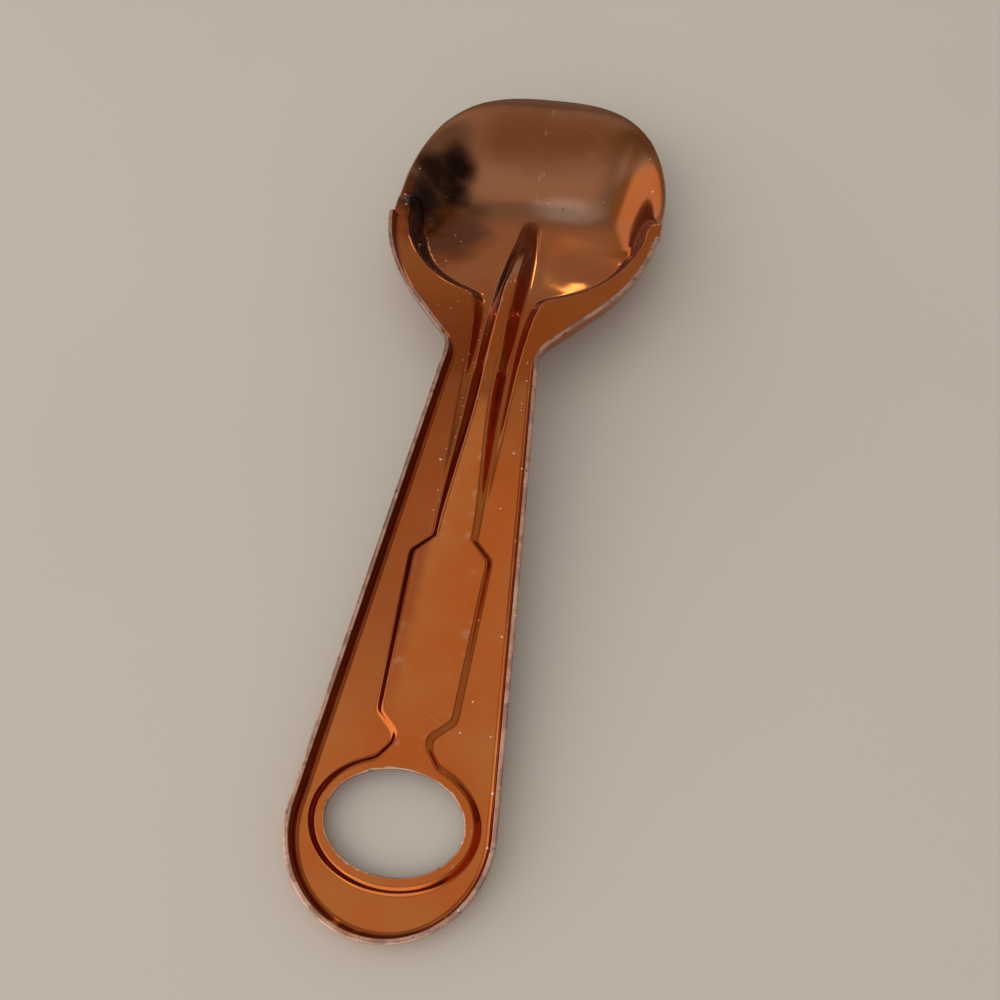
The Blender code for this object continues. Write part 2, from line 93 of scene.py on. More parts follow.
# Rows about the hole: round the handle's end, then up the ring's side to this angle.
RING_LAST = math.radians(66)
END_ROWS, SIDE_ROWS = 52, 36
# The rows from one of the raised work's turns to the next.
TURN_ROWS = (14, 12, 16, 34, 12)
# Rows beside the rib: up to a little before the neck, along the shoulder, and over the wall's rounded tip.
NECK_ROWS, SHOULDER_ROWS, WALL_TIP_ROWS = 40, 62, 13
NECK_MARGIN = 6 * MM
# Where the rows at the first four turns end on the outline, in panel shoulders behind the panel's start.
FAN_STOPS = (2.2, 1.6, 0.9, 0.0)
# The raised work's lines are softened from this many rows after the end to this many after the panel.
SOFT_FIRST, SOFT_LAST = 10, 12
# Columns on the top and the slope of the raised work and on the floor, and how far up the wall its own lie.
TOP_COLUMNS, SLOPE_COLUMNS, FLOOR_COLUMNS = 6, 15, 29
WALL_SHARES = np.concatenate([np.linspace(0.0, 0.4, 9)[1:], np.linspace(0.4, 0.9, 5)[1:], [0.95, 1.0]])
LIP_ROWS = 58
# Share of the lip's length up to its nearly straight front, and of its half-width up to its corner.
LIP_BEND, LIP_CORNER = 0.985, 0.82
# Extra rows in the notch, in quarters of a row.
NOTCH_ROWS = np.array([0.35, 1.0, 2.0])
# Rows end this share of the half-width out at most, and the floor's directions are evened this many times.
JUST_INSIDE = 0.9999
EVENING_ROUNDS = 6
# How many columns the rub and the painted highlight on the crest of the raised work spread over.
CREST_SPREAD = 1.2
# Farther from the cut edge than any point, and near enough to the middle line to lie on it.
FAR = 10.0
ON_MIDDLE = 1e-7

# Settings of shader nodes.
TIMES, PLUS, LESS, OVER = ({"operation": name} for name in ("MULTIPLY", "ADD", "SUBTRACT", "DIVIDE"))
LARGER = {"operation": "MAXIMUM"}
SMOOTH = {"interpolation_type": "SMOOTHSTEP"}
COLOURS = {"data_type": "RGBA"}

# Ovals on the finished scoop: centre and half-axes in millimetres, seen from above. A patch ends where the
# sum of squares, 1 on its oval, reaches this.
PATCH_END = 1.5
CLEAN_PATCH = ((28.0, 78.0), (8.5, 9.0))
# Painted highlight in the bowl's valley, in the bare metal's colour.
VALLEY_HIGHLIGHT_PATCH = ((8.0, 76.5), (10.0, 4.5))
# Painted dark reflection in the bowl's left half: three blots and a softer film over them.
DARK_REFLECTION_BLOTS = (((-22.5, 84.0), (5.5, 6.0)), ((-25.0, 78.0), (7.5, 7.5)), ((-28.0, 68.0), (5.0, 11.0)))
DARK_REFLECTION_FILM = ((-21.0, 63.0), (12.0, 15.0))
GRITTY_PATCHES = (((-5.2, 5.0), (1.6, 28.0)), ((-14.5, 29.0), (6.0, 6.0)))
# Zones on it: each limit is a value, where the zone starts and where it is full, in millimetres.
# "forward" is Y made uneven, and "from_edge" the distance from the cut edge.
LEFT_FLOOR = (("X", -3.5, -6.0), ("Y", -80.0, -35.0), ("Y", 42.0, 20.0))
DULLED = (("forward", 67.0, 75.0),)
# A painted dark reflection across the front slope, fading out to the left.
DARK_REFLECTION_BAND = (("forward", 84.0, 95.0), ("X", -24.0, -12.0))
LIP_BAND = (("forward", 97.0, 104.0),)
LIP_RIM = (("Y", 60.0, 68.0),)
NEAR_EDGE = (("from_edge", 0.6, 0.1),)
NICKED_EDGE = (("from_edge", 0.5, 0.2),)
DUSTY_FLOOR = (("X", 6.0, 9.0), ("Y", 25.0, 15.0))
# Directions and widths in millimetres of the scratches, and how far they are drawn out. Real ones are finer
# than these, which are as wide as they need to be to show.
SCRATCH_LINES = ((0.12, 0.22), (-0.5, 0.2), (1.1, 0.24))
SCRATCH_STRETCH = (1.0, 60.0, 60.0)
DENT_SHAPE = (1.0, 0.28, 1.0)
# Heights of the bump: slow waves of the pressing, the metal's grain, and the scratches' depth.
WAVE_HEIGHT, GRAIN_HEIGHT, SCRATCH_DEPTH = 0.05 * MM, 0.0006 * MM, 0.001 * MM

# The room's light, as linear values: its plain walls, then each part and the directions that it fills.
ROOM_SHADE = (0.42, 0.4, 0.38)
ROOM_PARTS = (
    ((0.74, 0.71, 0.67), (("Y", 0.5, 0.3), ("Z", 0.3, 0.7))),
    ((0.5, 0.49, 0.48), (("Y", -0.1, -0.3),)),
    ((1.3, 1.27, 1.24), (("Y", -0.45, -0.6),)),
    ((0.34, 0.33, 0.32), (("X", -0.3, -0.5), ("Z", 0.45, 0.6))),
    ((0.88, 0.86, 0.82), (("X", -0.45, -0.65), ("Z", 0.6, 0.45))),
    ((0.27, 0.26, 0.25), (("X", 0.15, 0.5),)),
    ((0.45, 0.43, 0.41), (("Z", 0.75, 0.55), ("Z", 0.15, 0.35), ("X", 0.35, 0.55))),
)
ROOM_STRENGTH = 1.2
FLOOR_HALF, FLOOR_ROUGHNESS = 4.0, 0.55
FLOOR_CLOUD_MM, FLOOR_SHADES = 120.0, (0.97, 1.03)
DAYLIGHT, LAMPLIGHT = (1.0, 0.98, 0.95), (1.0, 0.95, 0.5)
WINDOW_PLACE = (-0.95, -0.5, 0.6)
LAMP_PLACE, SECOND_LAMP_PLACE = (-0.056, 1.066, 0.298), (0.19, 1.043, 0.334)
BOWL_PLACE = (0.0, 0.07, 0.0)
WINDOW_SIZE, LAMP_SIZE, SECOND_LAMP_SIZE = 1.4, 0.05, 0.08
# The camera: its lens, and in drawing coordinates its place in millimetres, the way it looks and its right.
LENS, SENSOR_WIDTH = 36.0, 36.0
CAMERA_PLACE = (32.33, -21.02, 186.9)
CAMERA_AHEAD, CAMERA_RIGHT = (-0.1187, 0.4218, -0.8989), (0.9837, 0.1734, -0.0485)


def length(name, default, description):
    """A length property, given in millimetres and kept in metres."""
    settings = {"min": 0.0, "unit": "LENGTH", "precision": 5}
    return FloatProperty(name=name, default=default * MM, description=description, **settings)


def angle(name, default, description):
    """An angle property, given in degrees and kept in radians."""
    return FloatProperty(name=name, default=math.radians(default), subtype="ANGLE", description=description)


def number(name, default, description, **settings):
    """A property that is neither a length nor an angle."""
    return FloatProperty(name=name, default=default, description=description, **settings)


def hex_colour(name, default, description):
    """A colour property, written as six sRGB hex digits."""
    return StringProperty(name=name, default=default, description=description)


class SheetSizes(bpy.types.PropertyGroup):
    thickness: length("Thickness", 1.0, "Thickness of the sheet")
    corner: length("Edge rounding", 0.2, "Radius that tumbling leaves on the cut edges")
    bend_radius: length("Bend radius", 1.2, "Inner radius where the wall turns up")
    wall_height: length("Wall height", 3.8, "Height of the wall's inner face above the floor")
    wall_bend: angle("Wall bend", 84.0, "How far the wall is turned up from the floor")
    tip: angle("Tip", 5.699, "How far the finished scoop leans forward when it lies at rest")
    back: length("Back", 85.24, "How far the drawing's origin lies behind the model's origin")
    lift: length("Lift", 2.785, "Height of the drawing's origin at rest")


class HandleSizes(bpy.types.PropertyGroup):
    end_half_width: length("End half-width", 18.9, "Radius of the round end, outside the wall")
    end_centre: length("End centre", 1.2, "How far the round end's centre lies behind the hole's middle")
    neck_half_width: length("Neck half-width", 10.2, "Half-width of the handle's side line at the neck")
    neck: length("Neck", 101.6, "Where the neck's half-width is measured, from the hole's middle")
    neck_fillet: length("Neck fillet", 8.0, "Radius between the handle's side and the shoulder")
    hole_half_width: length("Hole half-width", 12.85, "Half of the hang hole's width")
    hole_half_length: length("Hole half-length", 9.3, "Half of the hang hole's length")
    ring_flat: length("Ring flat", 1.45, "Flat top of the raised ring round the hole")
    emboss_height: length("Emboss height", 0.9, "How far the ring, panel and rib stand up")
    emboss_flank: length("Emboss flank", 1.75, "Width of the slope at the side of the raised work")
    panel_half_low: length("Panel half-width, low", 8.2, "Panel's half-width near the hole")
    panel_half_high: length("Panel half-width, high", 8.9, "Panel's half-width near the rib")
    panel_start: length("Panel start", 19.2, "Where the panel reaches its width")
    panel_end: length("Panel end", 53.0, "Where the panel starts to narrow")
    panel_chamfer: length("Panel shoulder", 3.6, "Length of the panel's slanted shoulders")
    link_half_width: length("Link half-width", 4.3, "Half-width of the link from ring to panel")
    rounding: length("Line rounding", 0.9, "How softly the raised work's outline turns its corners")


class HeadSizes(bpy.types.PropertyGroup):
    half_width: length("Head half-width", 33.0, "Half of the head's greatest width")
    widest: length("Widest place", 146.0, "Where the head is widest, from the hole's middle")
    lip_length: length("Lip length", 45.1, "From the widest place to the lip's front edge")
    lip_power: number("Lip power", 2.8, "Squareness of the lip's outline")
    shoulder_radius: length("Shoulder radius", 46.0, "Radius of the shoulders behind the widest place")
    shoulder_angle: angle("Shoulder angle", 41.0, "How much of that arc the shoulders take")
    notch: length("Notch", 143.2, "Where the wall stops and the plain lip starts")
    notch_width: length("Notch width", 1.6, "Width of the small notch there")
    wall_tip: length("Wall tip", 2.4, "Rounding at the wall's two ends")
    drop: angle("Drop", 5.7, "How far the head's rim slopes down from the handle's plane")
    drop_start: length("Drop start", 95.0, "Where the rim starts to slope")
    drop_blend: length("Drop blend", 8.0, "Length of the bend into that slope")
    bowl_depth: length("Bowl depth", 14.0, "Depth below the rim that the front trough starts from")
    bowl_centre: length("Bowl centre", 150.0, "Centre of the rear crest's ellipse")
    crest: length("Rear crest", 118.5, "Where that ellipse crosses the middle line")
    rear_steep: number("Rear steepness", 7.0, "Squareness of the trough beside the notch")
    front_bow: number("Front bow", 2.6, "How late the front slope rises")
    front_soft: number("Front softness", 1.5, "How gently it meets the lip")
    trough_power: number("Trough power", 4.0, "Squareness of the trough across, where the head is widest")
    wall_run: length("Wall run", 4.5, "Width of the steep wall under the rear crest, seen from above")
    valley_round: length("Valley rounding", 1.6, "How softly the rear and front slopes meet")
    dish_depth: length("Dish depth", 0.6, "How much each floor beside the rib is dished")
    dish_reach: length("Dish reach", 7.5, "How far the dish reaches from its middle")
    dish_x: length("Dish place across", 15.3, "The dish's middle from the middle line")
    dish_y: length("Dish place along", 133.0, "The dish's middle from the hole's middle")
    gutter: length("Gutter", 0.2, "Depth of the fine groove along the rib's foot in the bowl")
    overhang: length("Overhang", 0.3, "How far the outer face may reach past the outline")
    rest_flat: length("Rest flat", 0.22, "How much the bowl's bottom is pressed flat where it lies at rest")
    rest_flat_round: length("Rest flat rounding", 0.06, "How softly that flat starts")
    rest_lean: angle("Rest lean", 5.7, "The flat's slope, the same as the scoop's lean at rest")
    side_margin: length("Side margin", 1.4, "Rim between the lip's side edge and the bowl")
    ledge: length("Ledge at the notch", 2.4, "Rim between the outline and the bowl beside the notch")
    lip_margin: length("Lip margin", 2.4, "Rim left flat along the lip")
    lip_round: length("Lip rounding", 2.2, "How softly the lip turns down into the bowl")
    rib_foot: length("Rib foot", 5.1, "Half-width of the rib at the foot of its slopes")
    rib_foot_neck: length("Rib foot at the neck", 4.2, "The same at the neck, between the grooves")
    rib_point_foot: length("Rib point, foot", 1.4, "How much the rib's foot narrows towards its end")
    rib_point_crest: length("Rib point, crest", 0.45, "How much the rib's crest narrows towards its end")
    rib_crest_start: length("Rib crest, low", 3.2, "Half-width of the rib's flat crest at the panel")
    rib_crest_end: length("Rib crest, high", 0.8, "Half-width of the rib's crest at the neck")
    rib_taper: length("Rib taper", 42.0, "Length over which the crest narrows")
    rib_ramp: length("Rib ramp", 112.0, "Where the rib starts down into the bowl")
    rib_end: length("Rib end", 159.0, "Where the rib meets the bowl's bottom")
    rib_fade: length("Rib fade", 20.0, "Length over which the rib sinks into the bowl's bottom")
    rib_lift: length("Rib lift", 0.9, "How far the crest swells at the neck")


class FinishSettings(bpy.types.PropertyGroup):
    copper: hex_colour("Copper", "AF6635", "Colour of the dyed oxide over the metal")
    copper_deep: hex_colour("Deep copper", "AD5725", "Colour where the dye is thicker")
    bare: hex_colour("Bare metal", "BF9A88", "Colour of worn edges, where thin dye is left on bare metal")
    dull: hex_colour("Dulled dye", "946245", "Colour where ice cream has rubbed the dye dull in the bowl")
    # Painted dark reflection: this colour darkens a band on the front slope and the lip's cut edge.
    front_dark_reflection: hex_colour("Dulled dye, dark", "784728", "The same where it is browned, on the front slope")
    dull_lip: hex_colour("Dulled dye at the lip", "835942", "The same along the lip")
    # Maroon: laid as painted shade on the wall's inner face, and as a darker tint over the left half of the
    # handle's floor.
    maroon: hex_colour("Deep dye", "7A2C14", "Colour of the dye and grime gathered on the wall's inner face")
    dark: hex_colour("Dark nicks", "3A2018", "Colour of dirt in pits and nicks")
    # Painted dark reflection: this colour darkens the left half of the bowl.
    reflection: hex_colour("Tarnish", "24120C", "Colour of the dark tarnish in the bowl's left half")
    dust: hex_colour("Dust", "E7DAD4", "Colour of the pale specks")
    roughness: number("Roughness", 0.095, "Blur of the polish", subtype="FACTOR", min=0.0, max=1.0)
    worn_width: length("Worn width", 0.1, "How far the wear reaches from the cut edge")


class StageSettings(bpy.types.PropertyGroup):
    floor: hex_colour("Floor", "CAC1B6", "Colour of the plain pale floor")
    key_power: number("Key power", 6.0, "Large soft light on the left", unit="POWER")
    lamp_power: number("Lamp power", 0.042, "Small warm lamp, a third of the second one's", unit="POWER")


def smooth_step(value):
    """0 below 0, 1 above 1, and 3 t squared minus 2 t cubed between."""
    t = np.clip(value, 0.0, 1.0)
    return t * t * (3.0 - 2.0 * t)


def ramp(start, end, value):
    """How far value has come from start to end, as a smooth S from 0 to 1."""
    return smooth_step((value - start) / (end - start))


def unit(vectors):
    """Each vector divided by its length."""
    return vectors / np.maximum(np.linalg.norm(vectors, axis=-1, keepdims=True), 1e-12)


def hole_line(handle, angles, distance):
    """The hang hole's ellipse at the given angles, moved out by distance along the ellipse's own normal."""
    a, b = handle.hole_half_width, handle.hole_half_length
    edge = np.column_stack([a * np.cos(angles), b * np.sin(angles)])
    outward = unit(np.column_stack([b * np.cos(angles), a * np.sin(angles)]))
    return edge + distance * outward


def arc(centre, first, last, steps):
    """Points on the short arc from first to last about centre."""
    start = math.atan2(*(first - centre)[::-1])
    turn = math.atan2(*(last - centre)[::-1]) - start
    turn = (turn + math.pi) % (2 * math.pi) - math.pi
    angles = start + turn * np.linspace(0.0, 1.0, steps)
    return centre + np.hypot(*(first - centre)) * np.column_stack([np.cos(angles), np.sin(angles)])


def outline(handle, head):
    """The right half's outer line from the round end to the notch.

    It is a circle about the end's centre, the straight line from that circle's tangent point to the neck, a
    fillet arc, and the shoulder's arc, whose centre lies on the line across the widest place.
    """
    radius = handle.end_half_width
    end_centre = np.array([0.0, -handle.end_centre])
    neck = np.array([handle.neck_half_width, handle.neck])
    to_neck = neck - end_centre
    turn = math.atan2(to_neck[1], to_neck[0]) - math.acos(radius / np.hypot(*to_neck))
    side_start = end_centre + radius * np.array([math.cos(turn), math.sin(turn)])
    side_way = unit(neck - side_start)
    centre = np.array([head.half_width - head.shoulder_radius, head.widest])
    bend = head.shoulder_angle
    shoulder = centre + head.shoulder_radius * np.array([math.cos(bend), -math.sin(bend)])
    shoulder_way = np.array([math.sin(bend), math.cos(bend)])
    along = np.linalg.solve(np.column_stack([side_way, -shoulder_way]), shoulder - side_start)
    corner = side_start + along[0] * side_way
    reach = handle.neck_fillet * math.tan(math.acos(float(side_way @ shoulder_way)) / 2)
    first = corner - reach * side_way
    fillet_centre = first + handle.neck_fillet * np.array([side_way[1], -side_way[0]])
    fillet = arc(fillet_centre, first, corner + reach * shoulder_way, FILLET_STEPS)
    cap_angles = np.linspace(-math.pi / 2, turn, END_STEPS)
    cap = end_centre + radius * np.column_stack([np.cos(cap_angles), np.sin(cap_angles)])
    notch_turn = math.asin(max(head.widest - head.notch, 0.0) / head.shoulder_radius)
    last = centre + head.shoulder_radius * np.array([math.cos(notch_turn), -math.sin(notch_turn)])
    return np.vstack([cap, fillet, arc(centre, shoulder, last, SHOULDER_STEPS)])


def outline_at(line, handle, ys):
    """The outline's points at the heights ys, above the round end's centre, and their outward directions."""
    xs, line_ys = line[line[:, 1] > -handle.end_centre].T
    step = 0.4 * MM
    x = np.interp(ys, line_ys, xs)
    slope = (np.interp(ys + step, line_ys, xs) - np.interp(ys - step, line_ys, xs)) / (2 * step)
    return np.column_stack([x, ys]), unit(np.column_stack([np.ones_like(ys), -slope]))


def lip_y(head, x):
    """The lip's edge above half-width x, a superellipse: flat in front and full at its corners."""
    share = np.clip(np.abs(x) / head.half_width, 0.0, 1.0)
    return head.widest + head.lip_length * (1.0 - share**head.lip_power) ** (1.0 / head.lip_power)


def lip_x(head, y):
    """The half-width of the same superellipse at y."""
    share = np.clip((y - head.widest) / head.lip_length, 0.0, 1.0)
    return head.half_width * (1.0 - share**head.lip_power) ** (1.0 / head.lip_power)


def head_drop(head, y):
    """How far the rim lies below the handle's plane: a parabola over the blend, then a straight slope."""
    past = y - head.drop_start
    eased = np.maximum(past, 0.0) ** 2 / (2 * head.drop_blend)
    return np.where(past < head.drop_blend, eased, past - head.drop_blend / 2) * math.tan(head.drop)


def smooth_line(y, stops, values):
    """A curve through the values at the stops: straight lines between them, evened out by a bell curve."""
    shifts = np.linspace(-4.0, 4.0, 9) * MM
    bell_width = 2.2 * MM
    weights = np.exp(-((shifts / bell_width) ** 2))
    return sum(w * np.interp(y + s, stops, values) for s, w in zip(shifts, weights)) / weights.sum()


def rear_hollow(head, x, y):
    """Depth behind the bowl's valley: a slope down from the neck, inside the rear crest and the rib's tongue.

    The crest is a rounded ellipse. The depth grows across it by an S curve, which makes a steep wall, and
    does so across the tongue's edges. The two are joined as chances are: 1 - (1 - a)(1 - b).
    """
    lines = (SLOPE_DEPTH, TONGUE_OUTER, TONGUE_INNER)
    depth, outer, inner = (smooth_line(y, SLOPE_Y, values) for values in lines)
    half_length = head.bowl_centre - head.crest
    across = np.abs(x) / (head.half_width - head.ledge)
    along = np.abs(y - head.bowl_centre) / half_length
    from_centre = (across**CREST_POWER + along**CREST_POWER) ** (1 / CREST_POWER)
    ellipse = smooth_step((1.0 - from_centre) * half_length / head.wall_run)
    faded = ramp(*(head.bowl_centre + shift for shift in CREST_ENDS), y)
    ellipse = ellipse + (1.0 - ellipse) * faded
    tongue = 1 - smooth_step((np.abs(x) - inner) / (outer - inner))
    return depth * (1 - (1 - ellipse) * (1 - tongue))


def front_hollow(head, x, y):
    """Depth ahead of the valley: a trough that rises to the lip's side edges and to its front."""
    start = head.notch
    along = np.clip((y - start) / (head.widest + head.lip_length - head.lip_margin - start), 0.0, 1.0)
    rise = (1.0 - along**head.front_bow) ** head.front_soft
    lip_half = lip_x(head, np.minimum(y, head.widest + LIP_BEND * head.lip_length))
    half = np.maximum(lip_half - head.side_margin, NARROWEST)
    across = np.abs(x) / half
    soft = head.lip_round / half
    inside = ((1.0 - across) + np.sqrt((1.0 - across) ** 2 + soft**2)) / 2
    power = head.rear_steep + (head.trough_power - head.rear_steep) * ramp(start, head.widest, y)
    return head.bowl_depth * rise * (1.0 - np.clip(1.0 - inside, 0.0, 1.0) ** power)


def hollowed_height(head, x, y):
    """Height of the rim's slope, less the rear or front hollow, whichever is shallower."""
    rear = rear_hollow(head, x, y)
    front = front_hollow(head, x, y)
    blend = head.valley_round
    shallower = (rear + front - np.sqrt((rear - front) ** 2 + blend**2)) / 2
    near = ramp(*(head.notch + shift for shift in FRONT_STARTS), y)
    shallower = rear + (np.maximum(shallower, 0.0) - rear) * near
    apart = (np.abs(x) - head.dish_x) ** 2 + (y - head.dish_y) ** 2
    return -head_drop(head, y) - shallower - head.dish_depth * np.exp(-apart / head.dish_reach**2)


def floor_height(head, handle, x, y):
    """Height of the sheet without its raised work. The bowl's bottom is a little flat where it rests."""
    floor = hollowed_height(head, x, y)
    near_valley = np.linspace(head.notch, head.widest + head.lip_length / 2, VALLEY_STEPS)
    lean = math.tan(head.rest_lean)
    middle = hollowed_height(head, 0 * near_valley, near_valley)
    flat = (middle + lean * near_valley).min() + head.rest_flat - lean * y
    flattened = (floor + flat + np.sqrt((floor - flat) ** 2 + head.rest_flat_round**2)) / 2
    return np.where(y > handle.neck, flattened, floor)


def rib_crest(head, handle, y):
    """Height of the rib's crest: the panel's height, a swell at the neck, then a ramp down to the valley."""
    start = handle.panel_end + handle.panel_chamfer + RIB_START
    end = float(floor_height(head, handle, np.array(0.0), np.array(head.rib_end)))
    high = handle.emboss_height + head.rib_lift
    low = high - RIB_FALL_NEXT
    steps = [low + (end - low) * share for share in RIB_STEPS]
    stops = np.array([start, RIB_HIGH, head.rib_ramp, *RIB_STEPS_Y, head.rib_end])
    levels = np.array([handle.emboss_height, high, high - RIB_FALL_FIRST, low, *steps, end])
    return smooth_line(y, stops, levels)


def rib_lines(head, handle, y):
    """The rib's half-widths at its crest and foot: it narrows towards the neck and again towards its end."""
    point = ramp(RIB_POINT_STARTS, head.rib_end, y)
    taper = ramp(handle.panel_end, handle.panel_end + head.rib_taper, y)
    crest = head.rib_crest_start + (head.rib_crest_end - head.rib_crest_start) * taper
    foot = head.rib_foot + (head.rib_foot_neck - head.rib_foot) * ramp(*RIB_NARROWS, y)
    return crest - head.rib_point_crest * point, foot - head.rib_point_foot * point


def rib_share(head, handle, x, y):
    """1 on the rib's crest and 0 beyond its foot, an S between, fading out where the rib ends."""
    crest, foot = rib_lines(head, handle, y)
    profile = 1 - smooth_step((np.abs(x) - crest) / (foot - crest))
    faded = ramp(head.rib_end - head.rib_fade, head.rib_end + RIB_PAST_END, y)
    return profile * (1 - faded) * (y > handle.panel_end)


def sheet_height(sizes, x, y, raised):
    """Height of the upper face: the floor plus the embossed ring and panel, or the rib beyond the panel.

    A groove in the shape of a bell curve runs along the rib's foot in the bowl.
    """
    _, handle, head = sizes
    floor = floor_height(head, handle, x, y)
    rib = rib_share(head, handle, x, y) * (rib_crest(head, handle, y) - floor)
    beside = (np.abs(x) - rib_lines(head, handle, y)[1] - GUTTER_OFF) / GUTTER_HALF
    in_bowl = ramp(*GUTTER_STARTS, y) * (1 - ramp(*GUTTER_ENDS, y))
    floor = floor - head.gutter * np.exp(-(beside**2)) * in_bowl
    past_panel = y > handle.panel_end + handle.panel_chamfer - HAIR
    return floor + np.where(past_panel, np.maximum(raised, rib), raised)


def softened(line, spacing):
    """A line of points, each replaced by its neighbours' mean, weighted by a bell curve of that width."""
    steps = np.linalg.norm(np.diff(line, axis=0), axis=1)
    along = np.concatenate([[0.0], np.cumsum(steps)])
    weights = np.exp(-(((along[:, None] - along[None, :]) / spacing) ** 2)) * np.gradient(along)[None, :]
    return weights @ line / weights.sum(axis=1, keepdims=True)


def emboss_keys(handle, head):
    """Middle, crest and foot of the raised work at each turn, from the ring to the panel's far shoulder."""
    flank = handle.emboss_flank
    shift = 0.4 * flank
    ring_lines = (0.0, handle.ring_flat, handle.ring_flat + flank)
    ring = [hole_line(handle, np.array([RING_LAST]), distance)[0] for distance in ring_lines]
    start, end = handle.panel_start, handle.panel_end
    low, high = start - handle.panel_chamfer, end + handle.panel_chamfer
    link = (handle.hole_half_length + ring_lines[2] + low) / 2
    crest, foot = rib_lines(head, handle, np.array(high))
    half_link, half_low, half_high = handle.link_half_width, handle.panel_half_low, handle.panel_half_high
    return np.array(
        [
            ring,
            [(0.0, handle.hole_half_length), (half_link - flank, link), (half_link, link)],
            [(0.0, link), (half_link - flank, low + shift), (half_link, low)],
            [(0.0, start), (half_low - flank, start + shift), (half_low, start)],
            [(0.0, end), (half_high - flank, end - shift), (half_high, end)],
            [(0.0, high), (float(crest), high), (float(foot), high)],
        ]
    )


def rib_rows(handle, head):
    """Where the rows beside the rib lie: even steps to the neck and the wall's tip, finer over the tip."""
    wall_end = head.notch - head.notch_width / 2
    neck_end = handle.neck - NECK_MARGIN
    neck_y = np.linspace(handle.panel_end + handle.panel_chamfer, neck_end, NECK_ROWS, endpoint=False)
    shoulder_y = np.linspace(neck_end, wall_end - head.wall_tip, SHOULDER_ROWS, endpoint=False)
    tip_y = wall_end - head.wall_tip * (1 - np.sin(np.linspace(0.0, math.pi / 2, WALL_TIP_ROWS)))
    return np.concatenate([neck_y, shoulder_y, tip_y])


def wall_length(sheet, head, y):
    """Length of sheet from the floor's end to the wall's top: the bend's arc and a straight part.

    Near the notch the wall's tip comes down in a quarter circle.
    """
    near = np.clip((head.notch - head.notch_width / 2 - y) / head.wall_tip, 0.0, 1.0)
    arc_length = sheet.bend_radius * sheet.wall_bend
    straight = sheet.wall_height - sheet.bend_radius * (1 - math.cos(sheet.wall_bend))
    return (arc_length + straight / math.sin(sheet.wall_bend)) * np.sqrt(1 - (1 - near) ** 2)


def walled_rows(sizes):
    """The guide points of each row that ends on the wall, from the handle's end to the notch.

    Each row has its middle, the raised work's crest and foot, the outline and its outward direction, the
    height of the raised work, and the length of sheet past the floor, which is the wall.
    """
    sheet, handle, head = sizes
    line = outline(handle, head)
    flank = handle.ring_flat + handle.emboss_flank
    fan = np.linspace(-math.pi / 2, 0.0, END_ROWS, endpoint=False)
    side = np.linspace(0.0, RING_LAST, SIDE_ROWS, endpoint=False)
    outward = np.column_stack([np.cos(fan), np.sin(fan)])
    fan_edge = (0.0, -handle.end_centre) + handle.end_half_width * outward
    fan_y = handle.panel_start - handle.panel_chamfer * np.array(FAN_STOPS)
    side_y = np.linspace(-handle.end_centre, fan_y[0], SIDE_ROWS, endpoint=False)
    side_edge, side_out = outline_at(line, handle, side_y)
    side_out[0] = (1.0, 0.0)
    around = np.concatenate([fan, side])
    ring = [hole_line(handle, around, d) for d in (0.0, handle.ring_flat, flank)]
    keys = emboss_keys(handle, head)
    t = np.concatenate([stage + np.arange(n) / n for stage, n in enumerate(TURN_ROWS)])
    low = t.astype(int)
    share = (t - low)[:, None, None]
    emboss = keys[low] + share * (keys[low + 1] - keys[low])
    ellipse = RING_LAST + (math.pi / 2 - RING_LAST) * np.minimum(t, 1.0)
    emboss[t < 1.0, 0] = hole_line(handle, ellipse, 0.0)[t < 1.0]
    rib_start = handle.panel_end + handle.panel_chamfer
    stops = np.array([*fan_y, handle.panel_end, rib_start])
    panel_edge, panel_out = outline_at(line, handle, np.interp(t, np.arange(stops.size), stops))
    rib_y = rib_rows(handle, head)
    rib_edge, rib_out = outline_at(line, handle, rib_y)
    crest, foot = rib_lines(head, handle, rib_y)
    foot = foot + FOOT_MARGIN * ramp(*RIB_NARROWS, rib_y)
    zero = np.zeros_like(rib_y)
    ribs = [np.column_stack([x, rib_y]) for x in (zero, crest, foot)]
    guides = [np.vstack([ring[k], emboss[:, k], ribs[k]]) for k in range(3)]
    soft_from, soft_to = fan.size + SOFT_FIRST, around.size + t.size + SOFT_LAST
    for k in (1, 2):
        guides[k][soft_from:soft_to] = softened(guides[k], handle.rounding)[soft_from:soft_to]
    before = around.size + t.size
    return {
        "guides": guides,
        "edge": np.vstack([fan_edge, side_edge, panel_edge, rib_edge]),
        "outward": np.vstack([outward, side_out, panel_out, rib_out]),
        "height": np.concatenate([np.full(before, handle.emboss_height), 0 * rib_y]),
        "wall": wall_length(sheet, head, np.concatenate([np.zeros(before), rib_y])),
        "hole_rows": around.size + TURN_ROWS[0],
    }


def across_floor(guides, height):
    """Plan places and raised heights from the middle to the floor's end, for rows of four guide points.

    Columns lie evenly between the guides, and the raised height falls by an S curve from crest to foot.
    """
    top = np.linspace(0.0, 1.0, TOP_COLUMNS)
    slope = np.linspace(0.0, 1.0, SLOPE_COLUMNS)[1:]
    floor = np.linspace(0.0, 1.0, FLOOR_COLUMNS)[1:]
    guides = [guide[:, None, :] for guide in guides]
    strips = zip(guides, guides[1:], (top, slope, floor))
    parts = [near + (far - near) * share[None, :, None] for near, far, share in strips]
    places = np.concatenate(parts, axis=1)
    profile = np.concatenate([np.ones_like(top), 1 - smooth_step(slope), np.zeros_like(floor)])
    return places, height[:, None] * profile[None, :]


